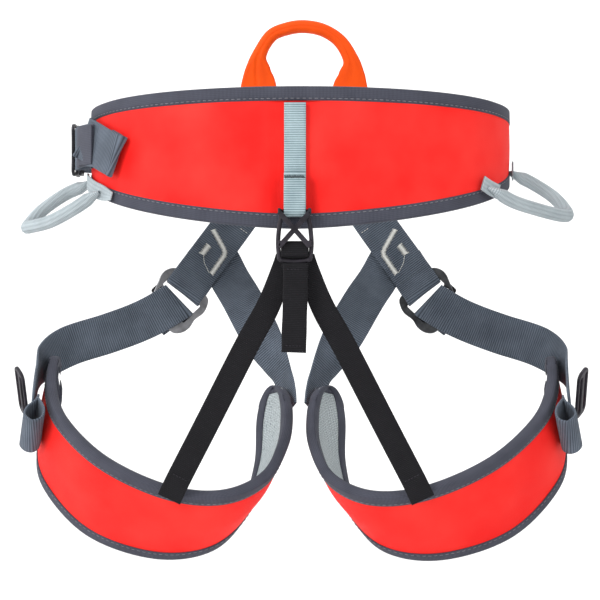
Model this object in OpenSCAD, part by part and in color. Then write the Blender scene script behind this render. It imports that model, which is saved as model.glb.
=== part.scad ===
// Tree climbing saddle: padded waist belt, two padded leg loops, webbing and hardware.
// The wearer faces +Y, +Z is up and +X is the wearer's right.
// The origin is the middle of the waist opening, half way up the belt.

/* [Waist belt] */
// Half of the belt's outside width, side to side
belt_half_width = 223; // [200:1:240]
// Half of the belt's outside depth behind the hips
belt_half_back = 141; // [130:1:155]
// Half of the belt's outside depth in front of the hips
belt_half_front = 130; // [120:1:140]
// Height of the top edge above the origin at the back
belt_top = 71; // [60:1:80]
// Height of the bottom edge below the origin at the back
belt_bottom = 70; // [60:1:80]
// Angle from the middle of the back to each end of the padding
belt_end_angle = 100; // [96:1:104]
// Thickness of the padded belt over its binding tape
belt_thick = 15; // [13:0.5:16]

/* [Leg pads] */
// Thickness of a leg pad over its binding tape
leg_thick = 11; // [10:0.5:12]
// How far the middle of a leg pad bulges past the line between its edges
leg_bulge = 4; // [0:1:6]

/* [Webbing] */
// Width of the load-bearing webbing
web_wide = 45; // [40:1:47]
// Thickness of the load-bearing webbing
web_thick = 2.5; // [2:0.1:2.8]
// Width of the back strap and of the elastic straps
slim_wide = 25; // [20:1:26]
// Thickness of the elastic straps
elastic_thick = 1.8; // [1.4:0.1:2]
// Thickness of the binding tape
tape = 1; // [0.8:0.1:1]
// Width of the binding tape on each face of the belt
belt_tape_wide = 14; // [10:1:16]
// Width of the binding tape on each face of a leg pad
leg_tape_wide = 11; // [8:1:13]

/* [Hardware] */
// Width of the slot in the webbing buckles
buckle_slot = 48; // [48:1:50]
// Thickness of the buckle plates
plate_thick = 3; // [2.5:0.1:3.2]
// Diameter of the gear loops over their sheath
gear_loop_dia = 13; // [11:0.5:14]
// Height of the standing front loop above the origin
front_loop_top = 177; // [160:1:180]

/* [Hidden] */

$fn = 32;
// Air left between two layers that lie on each other
gap = 0.4;
// Thickness of the cover cloth and of the liner
cloth = 1.2;
belt_steps = 24;
leg_steps = 3;
strap_steps = 4;
// Height and depth in the belt of the waist webbing
web_height = 19;
web_depth = 4.6;

RED = [0.93, 0.17, 0.14];
SLATE = [0.31, 0.35, 0.39];
BLACK = [0.12, 0.12, 0.13];
PALE = [0.76, 0.80, 0.82];
ORANGE = [0.98, 0.43, 0.08];
STEEL = [0.62, 0.63, 0.65];
FOAM = [0.45, 0.45, 0.47];

// Routes. Each row is a point on the strap's middle line, the direction of its width,
// its width and its thickness, for the left side; the right side is its mirror image.
RISER = [
  [-34, 154, 14, 0.80, 0.0, -0.60, web_wide, web_thick],
  [-58, 150, -22, 0.80, 0.0, -0.60, web_wide, web_thick],
  [-84, 139, -60, 0.80, 0.0, -0.60, web_wide, web_thick],
  [-106, 127, -91, 0.78, 0.0, -0.62, web_wide, web_thick],
  [-123, 119, -115, 0.74, 0.0, -0.67, web_wide, web_thick]
];
INNER_STRAP = [
  [-103, 139, -84, 0.84, 0.27, 0.46, web_wide, web_thick],
  [-94, 135.5, -99, 0.84, 0.27, 0.46, web_wide, web_thick],
  [-84, 125, -118, 0.86, 0.20, 0.46, web_wide, web_thick],
  [-68, 98, -142, 0.88, 0.10, 0.46, web_wide, web_thick],
  [-46, 68, -180, 0.84, -0.22, 0.44, web_wide, web_thick],
  [-27, 52, -212, 0.62, -0.66, 0.28, 42, web_thick],
  [-19, 46, -229, 0.50, -0.82, 0.16, 40, web_thick],
  [-14.5, 37, -245, 0.46, -0.87, 0.15, 38, web_thick],
  [-12, 27, -261, 0.44, -0.88, 0.15, 34, web_thick]
];
LEG_WEBBING = [
  [-179, 105, -165, 0.50, 0.0, -0.83, web_wide, web_thick],
  [-190, 104, -169, 0.44, 0.0, -0.90, web_wide, web_thick],
  [-220, 97, -180, 0.34, 0.0, -0.94, web_wide, web_thick],
  [-262, 85, -194, 0.16, 0.05, -0.98, web_wide, web_thick],
  [-286, 54, -213, -0.04, 0.20, -0.97, web_wide, web_thick],
  [-287, 20, -234, -0.12, 0.45, -0.88, web_wide, web_thick],
  [-286, -6, -253, -0.16, 0.57, -0.80, web_wide, web_thick]
];
ELASTIC = [
  [-10, -139.6, -98, 1.0, 0.0, 0.0, slim_wide - 6, elastic_thick],
  [-14, -139.2, -113, 1.0, 0.0, -0.10, slim_wide - 4, elastic_thick],
  [-27, -137, -148, 0.95, 0.0, -0.30, slim_wide - 1, elastic_thick],
  [-50, -134, -190, 0.90, 0.0, -0.43, slim_wide, elastic_thick],
  [-90, -128, -268, 0.90, 0.0, -0.43, slim_wide, elastic_thick],
  [-118, -123.5, -322, 0.90, 0.0, -0.43, slim_wide, elastic_thick],
  [-128, -121.5, -343, 0.90, 0.0, -0.43, slim_wide, elastic_thick]
];
LEG_TAIL = [
  [-284, -10, -265, -0.20, 0.56, -0.80, web_wide, web_thick],
  [-291, -19, -271.5, -0.20, 0.56, -0.80, web_wide, web_thick],
  [-293, -28, -278, -0.20, 0.56, -0.80, web_wide, web_thick],
  [-288, -35, -283, -0.20, 0.56, -0.80, web_wide, web_thick],
  [-281, -37, -285, -0.20, 0.56, -0.80, web_wide, web_thick],
  [-274.5, -33, -282, -0.20, 0.56, -0.80, web_wide, web_thick],
  [-273, -25, -276, -0.20, 0.56, -0.80, web_wide, web_thick],
  [-275.5, -17, -270, -0.20, 0.56, -0.80, web_wide, web_thick],
  [-279.5, -11, -266, -0.20, 0.56, -0.80, web_wide, web_thick]
];
// The upper and the lower edge of the left leg pad, from its outer end to the crotch
LEG_UPPER = [
  [-277, 62, -197], [-273, 8, -231], [-252, -46, -266], [-202, -90, -306], [-133, -115, -335],
  [-74, -110, -342], [-30, -82, -327], [-10, -45, -294], [-7, -5, -262], [-14, 22, -235]
];
LEG_LOWER = [
  [-276, 74, -258], [-287, 34, -300], [-276, -4, -342], [-224, -38, -390], [-150, -58, -412],
  [-89, -54, -404], [-54, -28, -368], [-40, 6, -322], [-40, 38, -274], [-32, 58, -241]
];
// Short strap that holds the belt buckle, the webbing that reaches it from the front, and
// the tail that comes back out of it and is folded under
BUCKLE_STRAP = [
  [-217.5, -37, 19, 0, 0, 1, web_wide, web_thick],
  [-223.5, -20, 19, 0, 0, 1, web_wide, web_thick],
  [-229, -12, 19, 0, 0, 1, web_wide, web_thick],
  [-235, -8, 19, 0, 0, 1, web_wide, web_thick]
];
FRONT_WEBBING = [
  [-54, 122, 19, 0, 0, 1, web_wide, web_thick],
  [-80, 117, 19, 0, 0, 1, web_wide, web_thick],
  [-107, 108, 19, 0, 0, 1, web_wide, web_thick],
  [-140, 96, 19, 0, 0, 1, web_wide, web_thick],
  [-172, 83, 19, 0, 0, 1, web_wide, web_thick],
  [-203, 63, 19, 0, 0, 1, web_wide, web_thick],
  [-226, 46, 19, 0, 0, 1, web_wide, web_thick],
  [-236, 35, 19, 0, 0, 1, web_wide, web_thick]
];
BELT_TAIL = [
  [-238.5, -9, 19, 0, 0, -1, web_wide, web_thick],
  [-235.5, -18, 19.5, -0.05, 0.05, -1, web_wide, web_thick],
  [-227, -35, 28, -0.30, 0.25, -0.92, web_wide, web_thick],
  [-214, -56, 21, -0.35, 0.29, -0.89, web_wide, web_thick],
  [-200, -76, 13, -0.35, 0.29, -0.89, web_wide, web_thick],
  [-191, -87, 8, -0.35, 0.29, -0.89, web_wide, web_thick],
  [-187, -90, 6, -0.35, 0.29, -0.89, web_wide, web_thick],
  [-184.5, -87, 5, -0.35, 0.29, -0.89, web_wide, web_thick],
  [-188.5, -81.5, 8, -0.35, 0.29, -0.89, web_wide, web_thick],
  [-197, -70.5, 13, -0.35, 0.29, -0.89, web_wide, web_thick]
];
// Middle lines of the gear loops; the right one hangs a little higher and is given as if
// it were on the left
GEAR_LOOP_LEFT = [
  [-214, -61, -34], [-234, -50, -46], [-262, -34, -59], [-287, -14, -64],
  [-292, 4, -62], [-279, 17, -45], [-255, 20, -28], [-233, 14, -19]
];
GEAR_LOOP_RIGHT = [
  [-206, -74.5, -32], [-224, -63, -41], [-250, -43, -48], [-276, -20, -53],
  [-284, 0, -50], [-272, 14, -33], [-250, 16, -18], [-231, 11, -9]
];
FRONT_LOOP = [
  [-52, 136, 46, 1.0, 0.0, 0.0, 43, 3],
  [-52, 140, 96, 1.0, 0.0, 0.05, 42, 4],
  [-53, 142, 120, 0.98, 0.0, -0.20, 30, 8],
  [-51, 143, 138, 0.85, 0.0, -0.53, 17, 13],
  [-38, 144, front_loop_top - 18, 0.70, 0.0, -0.71, 15, 16],
  [-20, 144, front_loop_top - 10, 0.40, 0.0, -0.92, 15, 18],
  [0, 144, front_loop_top - 7.5, 0.0, 0.0, -1.0, 15, 19],
  [22, 144, front_loop_top - 12, -0.45, 0.0, -0.89, 15, 18],
  [41, 144, front_loop_top - 25, -0.72, 0.0, -0.69, 16, 16],
  [53, 143, 131, -0.88, 0.0, -0.47, 19, 13],
  [54, 142, 114, -0.98, 0.0, -0.20, 31, 8],
  [52, 140, 92, -1.0, 0.0, 0.05, 42, 4],
  [52, 136, 46, -1.0, 0.0, 0.0, 43, 3]
];

// Smooth curve through a list of points of any dimension
function curve_at(p0, p1, p2, p3, t) =
  0.5 * (2 * p1 + (p2 - p0) * t + (2 * p0 - 5 * p1 + 4 * p2 - p3) * t * t
  + (3 * p1 - p0 - 3 * p2 + p3) * t * t * t);
function held(list, i) = list[max(0, min(len(list) - 1, i))];
function smooth(list, steps) = [
  for (i = [0:len(list) - 2])
    for (k = [0:steps - 1])
      curve_at(held(list, i - 1), list[i], list[i + 1], held(list, i + 2), k / steps),
  list[len(list) - 1]
];
function place(row) = [row[0], row[1], row[2]];
function unit(v) = v / norm(v);
function heading(list, i) = unit(place(held(list, i + 1)) - place(held(list, i - 1)));

// Triangles of a swept skin of n rings, each of 2 * m points that run out along one face
// of the section and back along the other; down says how each side's quads are split, so
// that layers lying on each other are split alike
function sweep_faces(n, m, down) = let (k = 2 * m) [
  for (i = [0:n - 2]) for (j = [0:k - 1])
    let (a = i * k + j, b = i * k + (j + 1) % k)
      each (down[j] ? [[a, b, b + k], [a, b + k, a + k]]
        : [[a, b, a + k], [b, b + k, a + k]]),
  for (j = [0:m - 2]) each [[j, k - 1 - j, k - 2 - j], [j, k - 2 - j, j + 1]],
  for (j = [0:m - 2]) let (e = (n - 1) * k)
    each [[e + j, e + k - 2 - j, e + k - 1 - j], [e + j, e + j + 1, e + k - 2 - j]]
];
module skin(rings, down) {
  faces = sweep_faces(len(rings), len(rings[0]) / 2, down);
  polyhedron(points = [for (r = rings) each r], faces = faces);
}

// A flat strap along a route
function strap_ring(list, i) =
  let (row = list[i], t = heading(list, i), raw = [row[3], row[4], row[5]],
    w = unit(raw - t * (raw * t)), n = cross(t, w), p = place(row),
    a = w * row[6] / 2, b = n * row[7] / 2)
  [p - a + b, p + a + b, p + a - b, p - a - b];
module strap(route, steps = strap_steps) {
  list = smooth(route, steps);
  skin([for (i = [0:len(list) - 1]) strap_ring(list, i)], [true, true, false, false]);
}

// Points around a circle that stands across a route
function round_ring(list, i, radius, sides) =
  let (t = heading(list, i), w = unit(cross(t, [0, 0, 1])), n = cross(w, t))
  [for (k = [0:sides - 1]) list[i] + radius * (w * cos(360 * k / sides) + n * sin(360 * k / sides))];
function tube_faces(n, k) = [
  for (i = [0:n - 2]) for (j = [0:k - 1])
    let (a = i * 2 * k + j, b = i * 2 * k + (j + 1) % k, s = 2 * k)
      each [
        [a, b, b + s], [a, b + s, a + s],
        [a + k, b + k + s, b + k], [a + k, a + k + s, b + k + s]
      ],
  for (j = [0:k - 1]) let (b = (j + 1) % k) each [[j, b + k, b], [j, j + k, b + k]],
  for (j = [0:k - 1]) let (b = (j + 1) % k, e = (n - 1) * 2 * k)
    each [[e + j, e + b, e + b + k], [e + j, e + b + k, e + j + k]]
];
module hose(route, outer, inner, sides = 10, steps = 2) {
  list = smooth(route, steps);
  rings = [
    for (i = [0:len(list) - 1])
      concat(round_ring(list, i, outer, sides), round_ring(list, i, inner, sides))
  ];
  polyhedron(points = [for (r = rings) each r], faces = tube_faces(len(rings), sides));
}

// A padded band: each station is its upper edge, its lower edge and its outward direction
function belt_half(angle) = abs(angle) > 90 ? belt_half_front : belt_half_back;
function belt_point(angle, z, depth) =
  [(belt_half_width - depth) * sin(angle), -(belt_half(angle) - depth) * cos(angle), z];
function belt_out(angle) = unit([sin(angle) / belt_half_width, -cos(angle) / belt_half(angle), 0]);
function belt_top_at(angle) = belt_top - 16 * pow(angle / 95, 2);
function belt_bottom_at(angle) = 50 * pow(1 - cos(angle), 0.8) - belt_bottom;
BELT = [
  for (i = [0:belt_steps]) let (angle = belt_end_angle * (2 * i / belt_steps - 1))
    [belt_point(angle, belt_top_at(angle), 0), belt_point(angle, belt_bottom_at(angle), 0), belt_out(angle)]
];
LEG_TOP = smooth(LEG_UPPER, leg_steps);
LEG_LOW = smooth(LEG_LOWER, leg_steps);
LEG = [
  for (i = [0:len(LEG_TOP) - 1])
    let (t = unit(heading(LEG_TOP, i) + heading(LEG_LOW, i)), w = LEG_LOW[i] - LEG_TOP[i])
      [LEG_TOP[i], LEG_LOW[i], unit(cross(w, t))]
];
function across(station) = unit(station[1] - station[0]);

// One layer of a padded band between two depths below its outer face
module band_layer(stations, near, far, margin, bulge) {
  skin([
    for (s = stations)
      let (w = across(s) * margin, rise = s[2] * margin * 2 * bulge / norm(s[1] - s[0]),
        a = s[0] + w + rise, b = s[1] - w + rise, mid = (s[0] + s[1]) / 2 + s[2] * bulge)
        [a - s[2] * far, mid - s[2] * far, b - s[2] * far,
        b - s[2] * near, mid - s[2] * near, a - s[2] * near]
  ], [true, true, true, false, false, false]);
}

// Binding tape folded over one edge of a padded band
module band_tape(stations, edge, wide, thick, bulge) {
  sign = edge == 0 ? 1 : -1;
  rings = [
    for (s = stations)
      let (w = across(s) * sign, e = s[edge], n = s[2], slope = 2 * bulge / norm(s[1] - s[0]),
        lip = e + w * wide + n * slope * wide, fold = e - w * tape)
        [lip, fold, fold - n * thick, lip - n * thick,
        lip - n * (thick - tape), e - n * (thick - tape), e - n * tape, lip - n * tape]
  ];
  turned = [for (r = rings) edge == 0 ? r : [for (k = [7:-1:0]) r[k]]];
  skin(turned, [for (j = [0:7]) (j % 4 < 2) == (edge == 1)]);
}

// Webbing that follows the waist at one depth
module waist_strap(from, to, depth, height, wide, thick) {
  span = to - from;
  count = ceil(abs(span) / 8);
  route = [
    for (i = [0:count]) let (angle = from + span * i / count)
      concat(belt_point(angle, height, depth), [0, 0, 1, wide, thick])
  ];
  strap(route, 1);
}

// Belt
module belt_outer_panel() {
  color(RED) band_layer(BELT, tape + gap, tape + gap + cloth, 1, 0);
}
module belt_foam() {
  color(FOAM) band_layer(BELT, web_depth + 1.8, belt_thick - tape - cloth - 2 * gap, 1, 0);
}
module belt_liner() {
  color(BLACK) band_layer(BELT, belt_thick - tape - gap - cloth, belt_thick - tape - gap, 1, 0);
}
module belt_binding_top() {
  color(SLATE) band_tape(BELT, 0, belt_tape_wide, belt_thick, 0);
}
module belt_binding_bottom() {
  color(SLATE) band_tape(BELT, 1, belt_tape_wide, belt_thick, 0);
}
module waist_webbing() {
  color(SLATE) waist_strap(-98, 166, web_depth, web_height, web_wide, web_thick);
}
module belt_buckle_strap() {
  color(SLATE) strap(BUCKLE_STRAP);
}
module front_webbing_left() {
  color(SLATE) strap(FRONT_WEBBING);
}
module front_bridge() {
  color(SLATE) waist_strap(162, 198, 1.2, web_height, web_wide, web_thick);
}
module front_loop_ends() {
  color(ORANGE) for (side = [-1, 1]) strap([
    [side * 52, 134.5, -2, 1, 0, 0, 43, 3],
    [side * 52, 136, 41, 1, 0, 0, 43, 3]
  ]);
}
module tie_in_stack() {
  color(SLATE) translate([-11, 132, -14]) cube([22, 18, 44]);
}
module belt_tail() {
  color(SLATE) strap(BELT_TAIL);
}

// Back strap, hook and elastic tail
hook_y = -belt_half_back - 7;
hook_top = -54;
hook_mid = -88;
hook_low = -102;
hook_half = 15;
hook_rod = 2.2;
hook_rail_wide = 3.6;
hook_arm_out = 8;
hook_arm_lean = 40;
back_strap_wide = 24;
back_strap_thick = 2;
// Depth behind the hook and height along the back strap, which turns around the hook's top
BACK_STRAP = [
  [5.4, 56], [5.4, -30], [4.8, -42], [4.5, hook_top], [0, hook_top - 4.5],
  [-4.5, hook_top], [-3.6, hook_top + 12], [-1, hook_top + 36]
];
// The elastics' turn around the hook's middle bar
ELASTIC_WRAP = [
  [4.2, hook_mid - 6], [3.8, hook_mid], [2.5, hook_mid + 2.8], [0, hook_mid + 3.8],
  [-2.5, hook_mid + 2.8], [-3.8, hook_mid], [-3.6, hook_mid - 9]
];
elastic_tail_low = -197;
elastic_tail_high = -107;
module back_strap() {
  color(PALE) strap([
    for (row = BACK_STRAP) [0, hook_y + row[0], row[1], 1, 0, 0, back_strap_wide, back_strap_thick]
  ]);
}
module hook_bar(z) {
  translate([-hook_half, hook_y, z]) rotate([0, 90, 0]) cylinder(r = hook_rod, h = 2 * hook_half);
}
module hook_rail(side) {
  translate([side * hook_half - hook_rail_wide / 2, hook_y - 2.5, hook_low - 3])
    cube([hook_rail_wide, 5, hook_top - hook_low + 6]);
}
module hook_arm(lean) {
  translate([0, hook_y - hook_arm_out, (hook_top + hook_low) / 2 + 6])
    rotate([0, lean, 0]) cube([5, 3, 46], center = true);
}
module hook_foot(side, z) {
  translate([side * hook_half - hook_rail_wide / 2, hook_y - hook_arm_out - 1.5, z - 3])
    cube([hook_rail_wide, hook_arm_out - 0.8, 6]);
}
module rear_hook() {
  color(BLACK) {
    hook_bar(hook_top);
    hook_bar(hook_mid);
    hook_bar(hook_low);
    hook_arm(hook_arm_lean);
    hook_arm(-hook_arm_lean);
    for (side = [-1, 1]) {
      hook_rail(side);
      hook_foot(side, hook_top);
      hook_foot(side, hook_mid + 2);
    }
  }
}
module elastic_wrap() {
  color(BLACK) strap([
    for (row = ELASTIC_WRAP) [0, hook_y + row[0], row[1], 1, 0, 0, slim_wide - 1, elastic_thick]
  ]);
}
module elastic_tail() {
  color(BLACK) translate([-slim_wide / 2, hook_y - 5, elastic_tail_low])
    cube([slim_wide, 2 * elastic_thick, elastic_tail_high - elastic_tail_low]);
}

// Buckle plates lie in the XZ plane with their bars along X, and are turned into place
frame_long = 69;
frame_high = 60;
frame_rise = 5;
belt_frame_long = 56;
belt_frame_high = 36;
slide_long = 60;
belt_slide_long = 54;
slide_high = 15;
slider_high = 24;
plate_corner = 4;
leg_buckle_at = [-145.6, 110, -142.3];
belt_buckle_at = [-242, 14, web_height];
belt_slide_in = 5;
slide_shift = 4;
belt_buckle_turn = 86;
leg_slider_at = [-300, 8, -241];
slider_turn = 119;
module corner_notches(long, high, bore) {
  for (side = [-1, 1])
    for (up = [-1, 1])
      translate([side * long / 2, up * high / 2]) square(2 * bore / 3, center = true);
}
module plate(long, high, bore) {
  rotate([90, 0, 0]) linear_extrude(plate_thick, center = true) difference() {
    square([long, high], center = true);
    corner_notches(long, high, bore);
    children();
  }
}
module slot(height, high) {
  translate([0, height]) square([buckle_slot, high], center = true);
}
module buckle_frame(long, high, rise) {
  plate(long, high, plate_corner) {
    slot(rise + 8.5, 8);
    slot(rise - 6, 15);
  }
}
module buckle_slide(long) {
  plate(long, slide_high, plate_corner - 1) slot(0, 5);
}
module leg_buckle_place(shift) {
  translate(leg_buckle_at) rotate([0, 47, 0]) rotate([-12, 0, 0]) translate([0, shift, 0]) children();
}
module belt_buckle_place(out) {
  translate(belt_buckle_at) rotate([0, 0, belt_buckle_turn]) rotate([0, 90, 0])
    translate([0, out, 0]) children();
}

// Webbing tabs that hold the gear loops
tab_out = -2.2;
module tab(angle, z, turn) {
  translate(belt_point(angle, z, tab_out)) rotate([0, 0, turn]) cube([3, 18, 20], center = true);
}
module gear_loop_anchor_left() {
  color(SLATE) {
    tab(-67, -31, 34);
    tab(-95, -12, -8);
  }
}
module gear_loop_anchor_right() {
  color(SLATE) right() {
    tab(-62, -28, 40);
    tab(-94, -8, -7);
  }
}
sheath_thick = 2;
core_thick = 2.2;
module gear_loop_core(route) {
  outer = gear_loop_dia / 2 - sheath_thick - 0.2;
  color(BLACK) hose(route, outer, outer - core_thick);
}
module gear_loop_sheath(route) {
  color(PALE) hose(route, gear_loop_dia / 2, gear_loop_dia / 2 - sheath_thick);
}
module front_loop() {
  color(ORANGE) strap(FRONT_LOOP);
}

// Leg loop
module riser_strap_left() {
  color(SLATE) strap(RISER);
}
module inner_strap_left() {
  color(SLATE) strap(INNER_STRAP);
}
module leg_webbing_left() {
  color(SLATE) strap(LEG_WEBBING);
}
module elastic_strap_left() {
  color(BLACK) strap(ELASTIC);
}
module leg_tail_left() {
  color(SLATE) strap(LEG_TAIL);
}
module leg_buckle_frame_left() {
  color(STEEL) leg_buckle_place(0) buckle_frame(frame_long, frame_high, frame_rise);
}
module leg_buckle_slide_left() {
  color(STEEL) leg_buckle_place(slide_shift) translate([0, 0, frame_rise - slide_shift])
    buckle_slide(slide_long);
}
module leg_slider_left() {
  color(BLACK) translate(leg_slider_at) rotate([35, 0, 0]) rotate([0, 0, slider_turn]) rotate([0, 90, 0])
    plate(slide_long, slider_high, plate_corner - 1) {
      slot(6, 6);
      slot(-6, 6);
    }
}
module leg_outer_panel_left() {
  color(RED) band_layer(LEG, tape + gap, tape + gap + cloth, 1, leg_bulge);
}
module leg_foam_left() {
  color(FOAM) band_layer(LEG, tape + 2 * gap + cloth, leg_thick - tape - 2 * gap - cloth, 1, leg_bulge);
}
module leg_liner_left() {
  color(PALE) band_layer(LEG, leg_thick - tape - gap - cloth, leg_thick - tape - gap, 1, leg_bulge);
}
module leg_binding_upper_left() {
  color(SLATE) band_tape(LEG, 0, leg_tape_wide, leg_thick, leg_bulge);
}
module leg_binding_lower_left() {
  color(SLATE) band_tape(LEG, 1, leg_tape_wide, leg_thick, leg_bulge);
}

// Belt buckle and keeper
module belt_buckle_frame() {
  color(STEEL) belt_buckle_place(0) buckle_frame(belt_frame_long, belt_frame_high, 0);
}
module belt_buckle_slide() {
  color(STEEL) belt_buckle_place(-belt_slide_in) translate([0, 0, slide_shift])
    buckle_slide(belt_slide_long);
}
keeper_at = [-203, 63, web_height];
keeper_turn = 35;
keeper_long = 12;
keeper_deep = 9.5;
module belt_keeper() {
  color(BLACK) translate(keeper_at) rotate([0, 0, keeper_turn]) difference() {
    cube([keeper_long, keeper_deep, web_wide + 9], center = true);
    cube([keeper_long + 2, keeper_deep - 3, web_wide + 5], center = true);
  }
}

module right() {
  mirror([1, 0, 0]) children();
}

belt_outer_panel();
belt_foam();
belt_liner();
belt_binding_top();
belt_binding_bottom();
waist_webbing();
belt_buckle_strap();
front_webbing_left();
front_bridge();
front_loop_ends();
tie_in_stack();
back_strap();
rear_hook();
elastic_wrap();
elastic_tail();
belt_buckle_frame();
belt_buckle_slide();
belt_tail();
belt_keeper();
gear_loop_anchor_left();
gear_loop_core(GEAR_LOOP_LEFT);  // gear_loop_core_left
gear_loop_sheath(GEAR_LOOP_LEFT);  // gear_loop_sheath_left
gear_loop_anchor_right();
right() gear_loop_core(GEAR_LOOP_RIGHT);  // gear_loop_core_right
right() gear_loop_sheath(GEAR_LOOP_RIGHT);  // gear_loop_sheath_right
front_loop();
riser_strap_left();
inner_strap_left();
leg_webbing_left();
elastic_strap_left();
leg_buckle_frame_left();
leg_buckle_slide_left();
leg_slider_left();
leg_tail_left();
leg_outer_panel_left();
leg_foam_left();
leg_liner_left();
leg_binding_upper_left();
leg_binding_lower_left();
right() riser_strap_left();  // riser_strap_right
right() inner_strap_left();  // inner_strap_right
right() leg_webbing_left();  // leg_webbing_right
right() elastic_strap_left();  // elastic_strap_right
right() leg_buckle_frame_left();  // leg_buckle_frame_right
right() leg_buckle_slide_left();  // leg_buckle_slide_right
right() leg_slider_left();  // leg_slider_right
right() leg_tail_left();  // leg_tail_right
right() leg_outer_panel_left();  // leg_outer_panel_right
right() leg_foam_left();  // leg_foam_right
right() leg_liner_left();  // leg_liner_right
right() leg_binding_upper_left();  // leg_binding_upper_right
right() leg_binding_lower_left();  // leg_binding_lower_right
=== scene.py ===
"""Looks of the tree climbing saddle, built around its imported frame.

Lengths are millimetres until a mesh is made, then metres. The wearer faces +Y and +Z is up. Pieces of the
left leg are made first, and the right ones are their mirror images.
"""

import math

import bpy
import numpy as np
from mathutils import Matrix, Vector, kdtree, noise


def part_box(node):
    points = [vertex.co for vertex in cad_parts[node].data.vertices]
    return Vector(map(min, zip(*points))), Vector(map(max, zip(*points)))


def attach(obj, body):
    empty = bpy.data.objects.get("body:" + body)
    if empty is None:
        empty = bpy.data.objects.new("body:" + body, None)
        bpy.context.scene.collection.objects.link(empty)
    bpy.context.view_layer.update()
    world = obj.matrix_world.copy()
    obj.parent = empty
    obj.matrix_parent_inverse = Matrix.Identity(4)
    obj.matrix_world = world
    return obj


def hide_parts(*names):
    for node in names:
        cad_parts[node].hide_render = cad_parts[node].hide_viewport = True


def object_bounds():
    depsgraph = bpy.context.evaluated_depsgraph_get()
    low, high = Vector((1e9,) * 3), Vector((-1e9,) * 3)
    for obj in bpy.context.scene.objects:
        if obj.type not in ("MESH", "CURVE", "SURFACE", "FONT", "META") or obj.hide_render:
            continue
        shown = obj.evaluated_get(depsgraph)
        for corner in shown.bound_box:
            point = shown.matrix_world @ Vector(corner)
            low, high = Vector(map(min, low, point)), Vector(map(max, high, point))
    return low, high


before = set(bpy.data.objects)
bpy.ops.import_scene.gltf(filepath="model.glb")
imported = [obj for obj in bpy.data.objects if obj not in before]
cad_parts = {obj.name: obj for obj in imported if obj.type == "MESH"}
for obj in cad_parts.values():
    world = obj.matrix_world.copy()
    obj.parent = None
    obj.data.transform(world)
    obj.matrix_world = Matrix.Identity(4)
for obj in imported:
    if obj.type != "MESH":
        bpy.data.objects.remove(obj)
CAD_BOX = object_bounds()
MM = 0.001

# ---------------------------------------------------------------- sizes, in millimetres
BELT_HALF_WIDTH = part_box("belt_binding_top")[1].x / MM
BELT_HALF_BACK = -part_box("belt_binding_top")[0].y / MM
BELT_HALF_FRONT = 130
BELT_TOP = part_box("belt_binding_top")[1].z / MM - 1
BELT_BOTTOM = -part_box("belt_binding_bottom")[0].z / MM - 1
BELT_END_ANGLE = 100
BELT_THICK = 15
LEG_THICK = 11
LEG_BULGE = 4
WEB_WIDE = 45
WEB_THICK = 2.5
SLIM_WIDE = 25
ELASTIC_THICK = 1.8
TAPE = 1
BELT_TAPE_WIDE = 14
LEG_TAPE_WIDE = 11
BELT_CORNER = 9
LEG_CORNER = 17
WEB_HEIGHT = 19
WEB_DEPTH = 4.6
FRONT_LOOP_TOP = 177
HOOK_Y = -148
HOOK_TOP = -54
HOOK_MID = -88
HOOK_LOW = -102
HOOK_HALF = 15
HOOK_BAR = 2.2
HOOK_ARM = (15.6, 17.5)

WEB = [WEB_WIDE, WEB_THICK]

# Routes: a point of the middle line, the direction of the width, the width and the thickness
RISER = [p + WEB for p in (
    [-34, 154, 14, 0.8, 0, -0.6],
    [-58, 150, -22, 0.8, 0, -0.6],
    [-84, 139, -60, 0.8, 0, -0.6],
    [-106, 127, -91, 0.78, 0, -0.62],
    [-123, 117, -115, 0.74, 0, -0.67],
    [-132, 107.5, -128.5, 0.77, 0, -0.64],
    [-134, 107, -131.5, 0.78, 0, -0.63],
    [-135.6, 109.5, -134, 0.78, 0, -0.62],
    [-134.5, 113.5, -133, 0.78, 0, -0.62],
    [-128, 121, -123, 0.73, 0, -0.68],
    [-112, 130.5, -98, 0.76, 0, -0.65],
)]
INNER_STRAP = [p + WEB for p in (
    [-103, 139, -84, 0.84, 0.27, 0.46],
    [-94, 135.5, -99, 0.84, 0.27, 0.46],
    [-84, 125, -118, 0.86, 0.2, 0.46],
    [-68, 98, -142, 0.88, 0.1, 0.46],
    [-46, 68, -180, 0.84, -0.22, 0.44],
)] + [
    [-27, 52, -212, 0.62, -0.66, 0.28, 42, WEB_THICK],
    [-19, 46, -229, 0.5, -0.82, 0.16, 40, WEB_THICK],
    [-14.5, 37, -245, 0.46, -0.87, 0.15, 38, WEB_THICK],
    [-12, 27, -261, 0.44, -0.88, 0.15, 34, WEB_THICK],
]
LEG_WEBBING = [p + WEB for p in (
    [-171, 114, -164, 0.54, 0, -0.84],
    [-156, 116, -153, 0.6, 0, -0.8],
    [-143, 113, -144, 0.67, 0, -0.74],
    [-140.4, 108.5, -142, 0.69, 0, -0.73],
    [-143.5, 104, -144.5, 0.67, 0, -0.74],
    [-167, 100.5, -158.5, 0.56, 0, -0.83],
    [-190, 104, -169, 0.44, 0, -0.9],
    [-220, 97, -180, 0.34, 0, -0.94],
    [-262, 85, -194, 0.16, 0.05, -0.98],
    [-286, 54, -213, -0.04, 0.2, -0.97],
    [-287, 20, -234, -0.12, 0.45, -0.88],
    [-286, -6, -253, -0.16, 0.57, -0.8],
)]
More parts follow.
